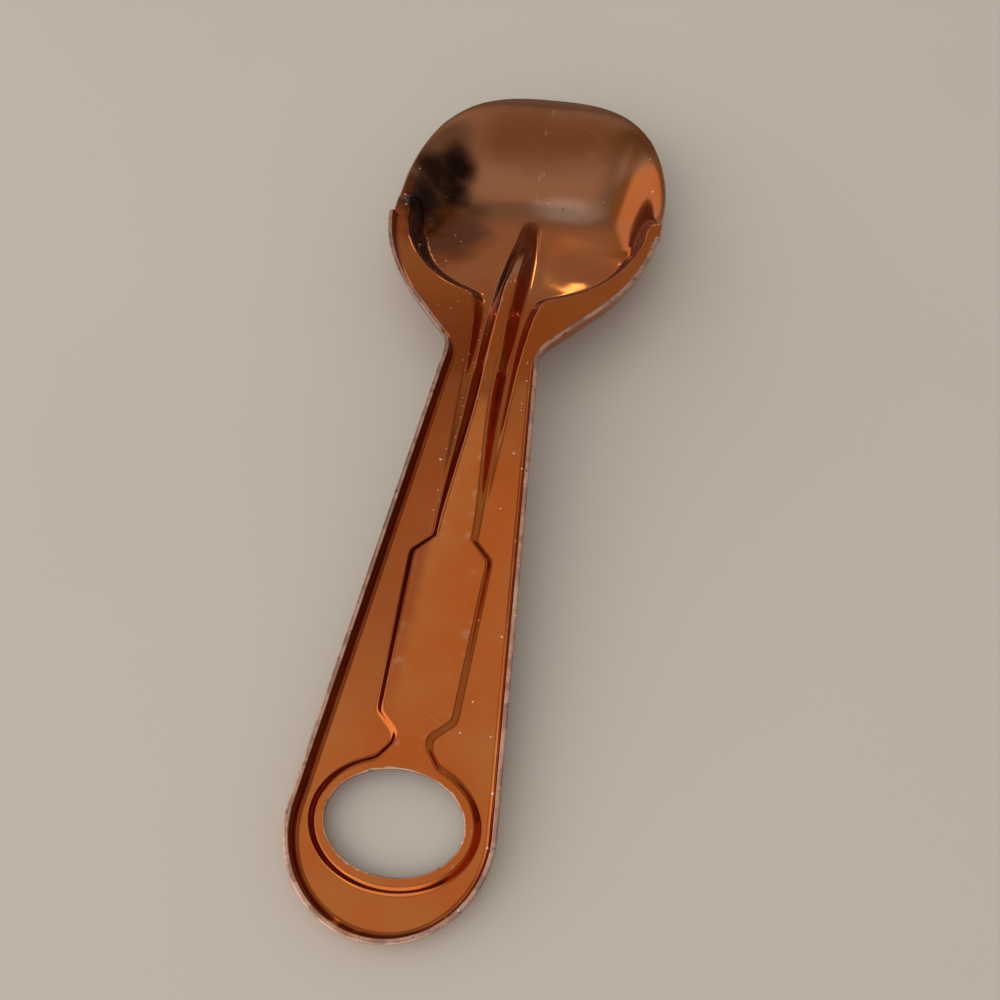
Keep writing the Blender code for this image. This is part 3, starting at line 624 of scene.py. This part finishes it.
def walled_grid(sizes, rows):
    """Places, raised heights and turn of the sheet for all walled rows.

    Past the floor the sheet follows an arc of the bend's radius up to the bend's angle, then a straight line.
    """
    sheet = sizes[0]
    flat = sheet.thickness + sheet.bend_radius
    floor_end = rows["edge"] - flat * rows["outward"]
    places, raised = across_floor([*rows["guides"], floor_end], rows["height"])
    run = rows["wall"][:, None] * WALL_SHARES[None, :]
    turn = np.minimum(run / sheet.bend_radius, sheet.wall_bend)
    past = np.maximum(run - sheet.bend_radius * sheet.wall_bend, 0.0)
    across = sheet.bend_radius * np.sin(turn) + past * math.cos(sheet.wall_bend)
    up = sheet.bend_radius * (1 - np.cos(turn)) + past * math.sin(sheet.wall_bend)
    wall_places = floor_end[:, None, :] + across[:, :, None] * rows["outward"][:, None, :]
    turns = np.concatenate([np.zeros_like(raised), turn], axis=1)
    return np.concatenate([places, wall_places], axis=1), np.concatenate([raised, up], axis=1), turns


def lip_grid(sizes):
    """Places, raised heights and turn for the rows ahead of the notch. The last row is the lip's edge.

    Each row runs from its place on the middle line to its end on the side edge. On the way it falls back in
    proportion to the lip's own fall from its front.
    """
    sheet, handle, head = sizes
    front = head.widest + head.lip_length
    start = head.notch - head.notch_width / 2
    corner_x = LIP_CORNER * head.half_width
    corner_y = float(lip_y(head, corner_x))
    share = (np.arange(LIP_ROWS) + 1) / LIP_ROWS
    share = np.concatenate([0.25 * share[0] * NOTCH_ROWS, share])
    axis_y = start + (front - start) * np.where(share == 1.0, 1.0, LIP_BEND * share)
    edge_y = start + (corner_y - start) * share
    edge_x = np.minimum(np.where(share == 1.0, corner_x, lip_x(head, edge_y)), JUST_INSIDE * head.half_width)
    crest, foot = rib_lines(head, handle, axis_y)
    foot = foot + FOOT_MARGIN
    flat = sheet.thickness + sheet.bend_radius
    zero = np.zeros_like(axis_y)
    guides = [np.column_stack([x, zero]) for x in (zero, crest, foot, edge_x - flat)]
    places, raised = across_floor(guides, 0 * axis_y)
    out_of_notch = np.clip((edge_y - start) / head.notch_width, 0.0, 1.0)
    reach = flat * np.sqrt(1 - (1 - out_of_notch) ** 2)
    wall_x = (edge_x - flat)[:, None] + reach[:, None] * WALL_SHARES[None, :]
    x = np.concatenate([places[:, :, 0], wall_x], axis=1)
    bow = (front - lip_y(head, x)) / (front - lip_y(head, edge_x))[:, None]
    y = axis_y[:, None] + (edge_y - axis_y)[:, None] * bow
    raised = np.concatenate([raised, np.zeros_like(wall_x)], axis=1)
    return np.stack([x, y], axis=2), raised, np.zeros_like(raised)


def floor_normals(points, floor_columns):
    """The upper face's directions in the floor's columns, from the steps between points, evened out."""
    along = np.gradient(points, axis=0)
    across = np.gradient(points, axis=1)
    normals = unit(np.cross(across, along))
    normals[0, :, 0] = 0.0
    evened = normals[:, :floor_columns].copy()
    for _ in range(EVENING_ROUNDS):
        padded = np.pad(evened, ((1, 1), (1, 1), (0, 0)), mode="edge")
        beside = padded[:-2, 1:-1] + padded[2:, 1:-1] + padded[1:-1, :-2] + padded[1:-1, 2:]
        evened = (beside + 2 * evened) / 6
    return unit(evened)


def upper_normals(upper, turns, walled_outward):
    """Directions of the upper face: the floor's own, and on the wall its foot's, turned in by the bend."""
    floor_columns = upper.shape[1] - WALL_SHARES.size
    normals = np.empty_like(upper)
    normals[:, :floor_columns] = floor_normals(upper, floor_columns)
    outward = np.zeros((upper.shape[0], 3))
    outward[: len(walled_outward), :2] = walled_outward
    turn = turns[:, floor_columns:, None]
    foot_up = normals[:, floor_columns - 1 : floor_columns]
    normals[:, floor_columns:] = unit(np.cos(turn) * foot_up - np.sin(turn) * outward[:, None, :])
    normals[upper[..., 0] == 0.0, 0] = 0.0
    return unit(normals)


def edge_distances(upper, hole_rows):
    """Each point's distance from the nearest end of its row or column that is a cut edge."""
    rim_gap = np.linalg.norm(upper - upper[:, -1:], axis=2)
    front_gap = np.linalg.norm(upper - upper[-1:], axis=2)
    hole_gap = np.where(np.arange(upper.shape[0])[:, None] <= hole_rows, 0.0, FAR)
    hole_gap = hole_gap + np.linalg.norm(upper - upper[:, :1], axis=2)
    return np.minimum(np.minimum(rim_gap, front_gap), hole_gap).reshape(-1)


def grid_quads(index, flip=False):
    """Four-sided faces between neighbouring rows and columns of a table of vertex numbers."""
    quads = np.stack([index[:-1, :-1], index[:-1, 1:], index[1:, 1:], index[1:, :-1]], axis=-1)
    return quads.reshape(-1, 4)[:, :: -1 if flip else 1]


def edge_strip(points, normals, thickness, corner, outward_sign):
    """The rounded cut edge along a line of points: a quarter circle, a straight face and a quarter circle.

    The line's first and last points lie on the middle plane, so the edge runs straight across there.
    """
    way = np.gradient(points, axis=0)
    way[[0, -1]] = (1.0, 0.0, 0.0)
    normals = normals.copy()
    normals[[0, -1], 0] = 0.0
    out = outward_sign * unit(np.cross(way, unit(normals)))
    out[0] *= np.sign(out[0] @ out[1])
    out[-1] *= np.sign(out[-1] @ out[-2])
    out[[0, -1], 0] = 0.0
    turns = np.radians([0.0, 30.0, 60.0, 90.0])
    outs = np.concatenate([corner * (np.sin(turns) - 1), corner * (np.sin(turns[::-1]) - 1)])
    downs = np.concatenate([corner * (1 - np.cos(turns)), thickness - corner * (1 - np.cos(turns[::-1]))])
    outs, downs = outs[None, :, None], downs[None, :, None]
    return points[:, None, :] + outs * out[:, None, :] - downs * normals[:, None, :]


def sheet_half(sizes):
    """All points, faces and point values of the right half of the sheet, both faces and the cut edges."""
    sheet, handle, head = sizes
    rows = walled_rows(sizes)
    parts = [walled_grid(sizes, rows), lip_grid(sizes)]
    places, raised, turns = (np.concatenate([a, b], axis=0) for a, b in zip(*parts))
    heights = sheet_height(sizes, places[..., 0], places[..., 1], raised)
    upper = np.concatenate([places, heights[..., None]], axis=2)
    upper[np.abs(upper[..., 0]) < ON_MIDDLE, 0] = 0.0
    normals = upper_normals(upper, turns, rows["outward"])
    lower = upper - sheet.thickness * normals
    last_row, last_column = upper.shape[0] - 1, upper.shape[1] - 1
    rim_rows = np.concatenate([np.arange(last_row + 1), np.full(last_column, last_row)])
    rim_columns = np.concatenate([np.full(last_row + 1, last_column), np.arange(last_column)[::-1]])
    hole_rows = np.arange(rows["hole_rows"] + 1)
    hole_columns = np.zeros_like(hole_rows)
    count = upper.shape[0] * upper.shape[1]
    upper_index = np.arange(count).reshape(upper.shape[:2])
    lower_index = upper_index + count
    points = [upper.reshape(-1, 3), lower.reshape(-1, 3)]
    faces = [grid_quads(upper_index), grid_quads(lower_index, flip=True)]
    start = 2 * count
    from_edge = np.full(start, FAR)
    for line_rows, line_columns, sign in ((rim_rows, rim_columns, 1.0), (hole_rows, hole_columns, -1.0)):
        edge = (line_rows, line_columns)
        strip = edge_strip(upper[edge], normals[edge], sheet.thickness, sheet.corner, sign)
        points[0][upper_index[edge]] = strip[:, 0]
        points[1][upper_index[edge]] = strip[:, -1]
        inner = strip[:, 1:-1]
        numbers = start + np.arange(inner.shape[0] * inner.shape[1]).reshape(inner.shape[:2])
        start += numbers.size
        points.append(inner.reshape(-1, 3))
        table = np.column_stack([upper_index[edge], numbers, lower_index[edge]])
        faces.append(grid_quads(table, flip=sign < 0))
        from_edge = np.concatenate([from_edge, np.zeros(numbers.size)])
        from_edge[upper_index[edge]] = 0.0
        from_edge[lower_index[edge]] = 0.0
    nearest = edge_distances(upper, rows["hole_rows"])
    from_edge[:count] = np.minimum(from_edge[:count], nearest)
    from_edge[count : 2 * count] = np.minimum(from_edge[count : 2 * count], nearest)
    from_crest = np.arange(upper.shape[1]) - (TOP_COLUMNS - 1)
    crest = np.exp(-((from_crest / CREST_SPREAD) ** 2))[None, :] * np.ones(upper.shape[0])[:, None]
    inner_wall = np.where(turns > 0.0, np.sin(turns), 0.0)
    fade = np.zeros(start - 2 * count)
    values = {
        "from_edge": from_edge,
        "crest": np.concatenate([crest.reshape(-1), 0 * crest.reshape(-1), fade]),
        "inner_wall": np.concatenate([inner_wall.reshape(-1), 0 * inner_wall.reshape(-1), fade]),
    }
    points = np.vstack(points)
    points[:, 0] = np.minimum(points[:, 0], head.half_width + head.overhang)
    return points, np.vstack(faces), values


def mirrored(points, faces, values):
    """Both halves: the left one is the right one with x turned round. They share the points where x is 0."""
    on_middle = np.abs(points[:, 0]) < ON_MIDDLE
    points[on_middle, 0] = 0.0
    left_numbers = np.where(on_middle, np.arange(len(points)), len(points) + np.cumsum(~on_middle) - 1)
    left = points[~on_middle] * (-1.0, 1.0, 1.0)
    both = {name: np.concatenate([value, value[~on_middle]]) for name, value in values.items()}
    return np.vstack([points, left]), np.vstack([faces, left_numbers[faces][:, ::-1]]), both


def laid_down(sheet, points):
    """From drawing coordinates to the model's: turned about X by the tip, then moved back and up."""
    turn = np.array(Matrix.Rotation(sheet.tip, 3, "X"))
    return points @ turn.T + (0.0, -sheet.back, sheet.lift)


def new_mesh(name, points, faces, values):
    """A mesh from arrays of points and four-sided faces, with one number per point for each named value."""
    mesh = bpy.data.meshes.new(name)
    mesh.vertices.add(len(points))
    mesh.vertices.foreach_set("co", points.astype(np.float32).ravel())
    mesh.loops.add(faces.size)
    mesh.loops.foreach_set("vertex_index", faces.astype(np.int32).ravel())
    mesh.polygons.add(len(faces))
    mesh.polygons.foreach_set("loop_start", np.arange(0, faces.size, 4, dtype=np.int32))
    mesh.polygons.foreach_set("use_smooth", np.ones(len(faces), dtype=bool))
    for value_name, value in values.items():
        attribute = mesh.attributes.new(value_name, "FLOAT", "POINT")
        attribute.data.foreach_set("value", value.astype(np.float32))
    mesh.update(calc_edges=True)
    mesh.validate()
    return mesh


def linear(hex_text):
    """A colour written as sRGB hex, as the linear values and the alpha that Blender's sockets take."""
    srgb = np.array([int(hex_text[k : k + 2], 16) for k in (0, 2, 4)]) / 255
    value = np.where(srgb <= 0.04045, srgb / 12.92, ((srgb + 0.055) / 1.055) ** 2.4)
    return (*value.tolist(), 1.0)


def feed(tree, socket, value):
    """Gives a socket a value, or links it to another socket or to a node's first open output."""
    if isinstance(value, bpy.types.Node):
        value = next(output for output in value.outputs if output.enabled)
    if isinstance(value, bpy.types.NodeSocket):
        tree.links.new(value, socket)
    else:
        socket.default_value = value


def add_node(tree, kind, settings, *values, **named):
    """Adds a shader node, sets its properties, and feeds its open inputs in order or by name."""
    node = tree.nodes.new("ShaderNode" + kind)
    for key, value in settings.items():
        setattr(node, key, value)
    for socket, value in zip([socket for socket in node.inputs if socket.enabled], values):
        feed(tree, socket, value)
    for name, value in named.items():
        feed(tree, node.inputs[name], value)
    return node


def clouds(add, place, size_mm, detail, stretch=(1.0, 1.0, 1.0), turn=0.0):
    """Noise whose blobs are about size_mm across, drawn out by stretch after a turn about Z."""
    turned = add("Mapping", {"vector_type": "TEXTURE"}, place, Rotation=(0.0, 0.0, turn))
    scaled = add("Mapping", {}, turned, Scale=tuple(1.0 / (size_mm * MM * share) for share in stretch))
    return add("TexNoise", {}, scaled, Scale=1.0, Detail=detail)


def specks(add, place, cell_mm, rarity, radius, shape=(1.0, 1.0, 1.0)):
    """Small spots: one to a cell of about cell_mm, kept where the cell's random value passes rarity.

    The radius is a share of the cell. A share below 1 in shape draws the spots out along that axis.
    """
    scaled = add("Mapping", {}, place, Scale=tuple(share / (cell_mm * MM) for share in shape))
    cells = add("TexVoronoi", {}, scaled, Scale=1.0).outputs
    spot = add("MapRange", SMOOTH, cells["Distance"], radius, 0.5 * radius)
    chance = add("SeparateColor", {}, cells["Color"])
    return add("Math", TIMES, spot, add("MapRange", SMOOTH, chance, rarity, rarity + 0.02))


def zone(add, where, limits, unit=MM):
    """1 inside all the limits and 0 outside: each is the name of a value in where, its start and its end."""
    shares = [add("MapRange", SMOOTH, where[name], start * unit, end * unit) for name, start, end in limits]
    return reduce(partial(add, "Math", TIMES), shares)


def patch(add, where, oval, uneven, full):
    """1 inside an uneven oval on the sheet, seen from above, and 0 outside.

    The oval is a centre and half-axes in millimetres. The distance is the sum of squares, 1 on the oval, plus
    the unevenness, and the mask is full where that is below full.
    """
    distance = uneven
    for axis, middle, half in zip("XY", *oval):
        off = add("Math", OVER, add("Math", LESS, where[axis], middle * MM), half * MM)
        distance = add("Math", PLUS, distance, add("Math", TIMES, off, off))
    return add("MapRange", SMOOTH, distance, PATCH_END, full)


def scratches(add, place):
    """Fine scratches in three directions, each in parts of the sheet only."""
    lines = []
    for turn, width_mm in SCRATCH_LINES:
        line = clouds(add, place, width_mm, 1.0, SCRATCH_STRETCH, turn)
        part = clouds(add, place, 14.0, 1.0, turn=turn)
        thin = add("MapRange", SMOOTH, line, 0.74, 0.78)
        lines.append(add("Math", TIMES, thin, add("MapRange", SMOOTH, part, 0.5, 0.65)))
    return reduce(partial(add, "Math", LARGER), lines)


def pale_specks(add, place, where, ragged):
    """Dust on the right floor, grains in the groove left of the rib and a few loose specks anywhere."""
    dust = add("Math", TIMES, specks(add, place, 2.2, 0.5, 0.12), zone(add, where, DUSTY_FLOOR))
    gritty = add("Math", LARGER, *(patch(add, where, oval, ragged, 0.5) for oval in GRITTY_PATCHES))
    grains = add("Math", TIMES, specks(add, place, 1.1, 0.6, 0.16), gritty)
    loose = add("Math", LARGER, specks(add, place, 2.8, 0.955, 0.1), specks(add, place, 6.0, 0.85, 0.06))
    return reduce(partial(add, "Math", LARGER), (dust, grains, loose))


def worn_edge(add, place, where, finish):
    """Where the cut edges are worn to bare metal: a broken line that is fainter round the lip."""
    chips = add("MapRange", SMOOTH, clouds(add, place, 1.6, 3.0), 0.4, 0.72)
    stretches = add("MapRange", SMOOTH, clouds(add, place, 11.0, 2.0), 0.4, 0.6)
    limit = add("Math", TIMES, chips, add("Math", TIMES, stretches, 3.0 * finish.worn_width))
    worn = add("MapRange", SMOOTH, add("Math", LESS, where["from_edge"], limit), 0.1 * MM, -0.05 * MM)
    kept = add("Math", LESS, 1.0, add("Math", TIMES, zone(add, where, LIP_RIM), 0.7))
    return add("Math", TIMES, worn, kept)


def copper_anodised_aluminium(finish):
    """Pressed sheet, bright-dipped and dyed: a slightly soft mirror, worn on its edges and in the bowl, with
    painted reflections, a painted highlight and painted shade in its colour.
    """
    material = bpy.data.materials.new("copper_anodised_aluminium")
    material.use_nodes = True
    tree = material.node_tree
    add = partial(add_node, tree)
    place = add("TexCoord", {}).outputs["Object"]
    where = dict(add("SeparateXYZ", {}, place).outputs.items())
    for name in ("from_edge", "crest", "inner_wall"):
        where[name] = add("Attribute", {"attribute_name": name}).outputs["Fac"]
    wander = add("Math", TIMES, add("Math", LESS, clouds(add, place, 14.0, 2.0), 0.5), 10 * MM)
    where["forward"] = add("Math", PLUS, where["Y"], wander)
    ragged = add("Math", TIMES, add("Math", LESS, clouds(add, place, 7.0, 2.0), 0.5), 1.4)

    clean = patch(add, where, CLEAN_PATCH, ragged, 0.5)
    dulled = add("Math", TIMES, zone(add, where, DULLED), add("Math", LESS, 1.0, clean))
    dull, front_dark_reflection, dull_lip = linear(finish.dull), linear(finish.front_dark_reflection), linear(finish.dull_lip)
    # The dulled dye, with a painted dark reflection band on the front slope.
    dulled_dye_and_reflection = add("Mix", COLOURS, zone(add, where, DARK_REFLECTION_BAND), dull, front_dark_reflection)
    dulled_dye_and_reflection = add("Mix", COLOURS, zone(add, where, LIP_BAND), dulled_dye_and_reflection, dull_lip)
    dark_reflection_blots = [patch(add, where, blot, ragged, 0.0) for blot in DARK_REFLECTION_BLOTS]
    # Painted dark reflection along the lip's cut edge.
    lip_edge_dark_reflection = add("Math", TIMES, zone(add, where, LIP_RIM), zone(add, where, NEAR_EDGE))
    worn = worn_edge(add, place, where, finish)
    soiled = add("Math", TIMES, add("MapRange", SMOOTH, clouds(add, place, 5.0, 3.0), 0.48, 0.62), 0.4)
    edge_metal = add("Mix", COLOURS, soiled, linear(finish.bare), linear(finish.dark))
    chipped = add("MapRange", SMOOTH, clouds(add, place, 1.6, 3.0), 0.62, 0.68)
    # Patches of painted shade on the wall's inner face.
    shading = add("MapRange", SMOOTH, clouds(add, place, 4.0, 3.0), 0.1, 0.6)
    crest_rub_and_highlight = add("MapRange", SMOOTH, clouds(add, place, 2.5, 3.0), 0.55, 0.72)
    # Where the painted highlight in the bowl's valley lies.
    valley_highlight = patch(add, where, VALLEY_HIGHLIGHT_PATCH, ragged, -0.4)
    scratched = scratches(add, place)
    pale = pale_specks(add, place, where, ragged)
    dents = specks(add, place, 5.0, 0.8, 0.05, DENT_SHAPE)
    pits = add("Math", LARGER, specks(add, place, 7.0, 0.86, 0.05), dents)

    # Each coat lies over those before it: where it is, how much of it covers, and its colour.
    coats = (
        (add("MapRange", SMOOTH, clouds(add, place, 22.0, 3.0), 0.35, 0.7), 1.0, finish.copper_deep),
        # A darker tint over the left half of the handle's floor.
        (zone(add, where, LEFT_FLOOR), 0.5, finish.maroon),
        # Dulled dye in the bowl, with the painted dark reflection band on the front slope.
        (dulled, 1.0, dulled_dye_and_reflection),
        # Painted highlight in the bowl's valley.
        (valley_highlight, 0.8, finish.bare),
        # Painted dark reflection in the bowl's left half, as a film and as blots.
        (patch(add, where, DARK_REFLECTION_FILM, ragged, 0.0), 0.7, finish.reflection),
        (reduce(partial(add, "Math", LARGER), dark_reflection_blots), 0.97, finish.reflection),
        # Painted dark reflection along the lip's cut edge.
        (lip_edge_dark_reflection, 1.0, finish.front_dark_reflection),
        (worn, 1.0, edge_metal),
        (add("Math", TIMES, chipped, zone(add, where, NICKED_EDGE)), 0.5, finish.dark),
        # Painted shade on the wall's inner face, in patches.
        (add("Math", TIMES, where["inner_wall"], shading), 0.65, finish.maroon),
        # Wear on the crest of the raised work, which also stands as a painted highlight along it.
        (add("Math", TIMES, where["crest"], crest_rub_and_highlight), 0.4, finish.bare),
        (scratched, 0.3, finish.bare),
        (pale, 0.85, finish.dust),
        (pits, 0.7, finish.dark),
    )
    colour = linear(finish.copper)
    for share, cover, coat in coats:
        over = linear(coat) if isinstance(coat, str) else coat
        colour = add("Mix", COLOURS, add("Math", TIMES, share, cover), colour, over)

    smudges = clouds(add, place, 9.0, 4.0)
    rough = add("Math", {"operation": "MULTIPLY_ADD"}, smudges, 0.08, finish.roughness - 0.04)
    for share, more in ((worn, 0.16), (dulled, 0.16), (scratched, 0.12), (pale, 0.3), (valley_highlight, 0.048)):
        rough = add("Math", PLUS, rough, add("Math", TIMES, share, more))

    waves = add("Math", TIMES, clouds(add, place, 16.0, 1.0), WAVE_HEIGHT)
    grain = add("Math", TIMES, clouds(add, place, 0.6, 2.0), GRAIN_HEIGHT)
    height = add("Math", LESS, add("Math", PLUS, waves, grain), add("Math", TIMES, scratched, SCRATCH_DEPTH))
    bump = add("Bump", {}, Strength=1.0, Distance=1.0, Height=height)

    shader = tree.nodes["Principled BSDF"].inputs
    for name, value in (("Base Color", colour), ("Roughness", rough), ("Normal", bump), ("Metallic", 1.0)):
        feed(tree, shader[name], value)
    return material


def floor_paint(stage):
    """Matt pale paint: even colour, no gloss to speak of."""
    material = bpy.data.materials.new("matt_pale_floor")
    material.use_nodes = True
    add = partial(add_node, material.node_tree)
    place = add("TexCoord", {}).outputs["Object"]
    darker, lighter = (tuple(np.array(linear(stage.floor)) * (k, k, k, 1.0)) for k in FLOOR_SHADES)
    colour = add("Mix", COLOURS, clouds(add, place, FLOOR_CLOUD_MM, 2.0), darker, lighter)
    shader = material.node_tree.nodes["Principled BSDF"].inputs
    feed(material.node_tree, shader["Base Color"], colour)
    shader["Roughness"].default_value = FLOOR_ROUGHNESS
    return material


def soft_room():
    """The light that the room sends back: a pale ceiling, plain walls, and dimmer parts at the sides."""
    world = bpy.data.worlds.new("soft_room")
    world.use_nodes = True
    add = partial(add_node, world.node_tree)
    direction = add("TexCoord", {}).outputs["Generated"]
    where = dict(add("SeparateXYZ", {}, direction).outputs.items())
    shade = (*ROOM_SHADE, 1.0)
    for part, limits in ROOM_PARTS:
        shade = add("Mix", COLOURS, zone(add, where, limits, 1.0), shade, (*part, 1.0))
    background = world.node_tree.nodes["Background"].inputs
    feed(world.node_tree, background["Color"], shade)
    background["Strength"].default_value = ROOM_STRENGTH
    return world


def area_light(name, place, target, size, power, colour):
    """A square lamp at place that faces target."""
    lamp = bpy.data.lights.new(name, "AREA")
    lamp.size = size
    lamp.energy = power
    lamp.color = colour
    made = bpy.data.objects.new(name, lamp)
    made.location = place
    made.rotation_euler = (Vector(target) - Vector(place)).to_track_quat("-Z", "Y").to_euler()
    bpy.context.scene.collection.objects.link(made)


def photo_camera(sheet):
    """The camera at the photo's viewing angle, placed and aimed in drawing coordinates and laid down."""
    camera = bpy.data.cameras.new("camera")
    camera.lens = LENS
    camera.sensor_width = SENSOR_WIDTH
    camera.clip_start = 0.01
    drawn = np.array(CAMERA_PLACE) * MM + np.array([(0.0, 0.0, 0.0), CAMERA_AHEAD, CAMERA_RIGHT])
    place, ahead, right = laid_down(sheet, drawn)
    ahead = Vector(ahead - place).normalized()
    up = Vector(right - place).cross(ahead).normalized()
    holder = bpy.data.objects.new("camera", camera)
    holder.location = place
    holder.rotation_euler = Matrix((ahead.cross(up), up, -ahead)).transposed().to_euler()
    return holder


class SCOOP_OT_pressing(bpy.types.Operator):
    """Make the pressed sheet with its rounded cut edges and its copper anodised finish"""

    bl_idname = "scoop.pressing"
    bl_label = "Pressed Sheet"

    def execute(self, context):
        scene = context.scene
        sizes = (scene.scoop_sheet, scene.scoop_handle, scene.scoop_head)
        points, faces, values = mirrored(*sheet_half(sizes))
        mesh = new_mesh("pressed_sheet", laid_down(sizes[0], points), faces, values)
        mesh.materials.append(copper_anodised_aluminium(scene.scoop_finish))
        pressed = bpy.data.objects.new("pressed_sheet", mesh)
        scene.collection.objects.link(pressed)
        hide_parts(NODE)
        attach(pressed, "root")
        return {"FINISHED"}


class SCOOP_OT_stage(bpy.types.Operator):
    """Make the plain pale floor, the soft light and the camera"""

    bl_idname = "scoop.stage"
    bl_label = "Stage"

    def execute(self, context):
        scene = context.scene
        stage = scene.scoop_stage
        corners = np.array([(-1, -1, 0), (1, -1, 0), (1, 1, 0), (-1, 1, 0)]) * FLOOR_HALF
        mesh = bpy.data.meshes.new("floor")
        mesh.from_pydata(corners.tolist(), [], [(0, 1, 2, 3)])
        mesh.materials.append(floor_paint(stage))
        floor = bpy.data.objects.new("floor", mesh)
        scene.collection.objects.link(floor)
        scene.world = soft_room()
        area_light("window", WINDOW_PLACE, (0.0, 0.0, 0.0), WINDOW_SIZE, stage.key_power, DAYLIGHT)
        power = stage.lamp_power
        area_light("lamp", LAMP_PLACE, BOWL_PLACE, LAMP_SIZE, power, LAMPLIGHT)
        area_light("second_lamp", SECOND_LAMP_PLACE, BOWL_PLACE, SECOND_LAMP_SIZE, 3 * power, LAMPLIGHT)
        scene.camera = photo_camera(scene.scoop_sheet)
        scene.collection.objects.link(scene.camera)
        scene.view_settings.view_transform = "Standard"
        return {"FINISHED"}


class SCOOP_PT_panel(bpy.types.Panel):
    """Lists the pieces of the scoop"""

    bl_idname = "SCOOP_PT_panel"
    bl_label = "Ice Cream Scoop"
    bl_space_type = "VIEW_3D"
    bl_region_type = "UI"
    bl_category = "Scoop"

    def draw(self, context):
        for name in GROUPS:
            box = self.layout.box()
            box.label(text=name.replace("_", " ").title())
            group = getattr(context.scene, name)
            for key in group.bl_rna.properties.keys():
                if key not in ("rna_type", "name"):
                    box.prop(group, key)
        for operator in OPERATORS:
            self.layout.operator(operator.bl_idname)


GROUPS = {
    "scoop_sheet": SheetSizes,
    "scoop_handle": HandleSizes,
    "scoop_head": HeadSizes,
    "scoop_finish": FinishSettings,
    "scoop_stage": StageSettings,
}
OPERATORS = (SCOOP_OT_pressing, SCOOP_OT_stage)


def register():
    for cls in (*GROUPS.values(), *OPERATORS, SCOOP_PT_panel):
        bpy.utils.register_class(cls)
    for name, group in GROUPS.items():
        setattr(bpy.types.Scene, name, PointerProperty(type=group))


def unregister():
    for name in GROUPS:
        delattr(bpy.types.Scene, name)
    for cls in (SCOOP_PT_panel, *OPERATORS[::-1], *list(GROUPS.values())[::-1]):
        bpy.utils.unregister_class(cls)


def main():
    register()
    bpy.ops.scoop.pressing()
    bpy.ops.scoop.stage()


if __name__ == "__main__":
    main()
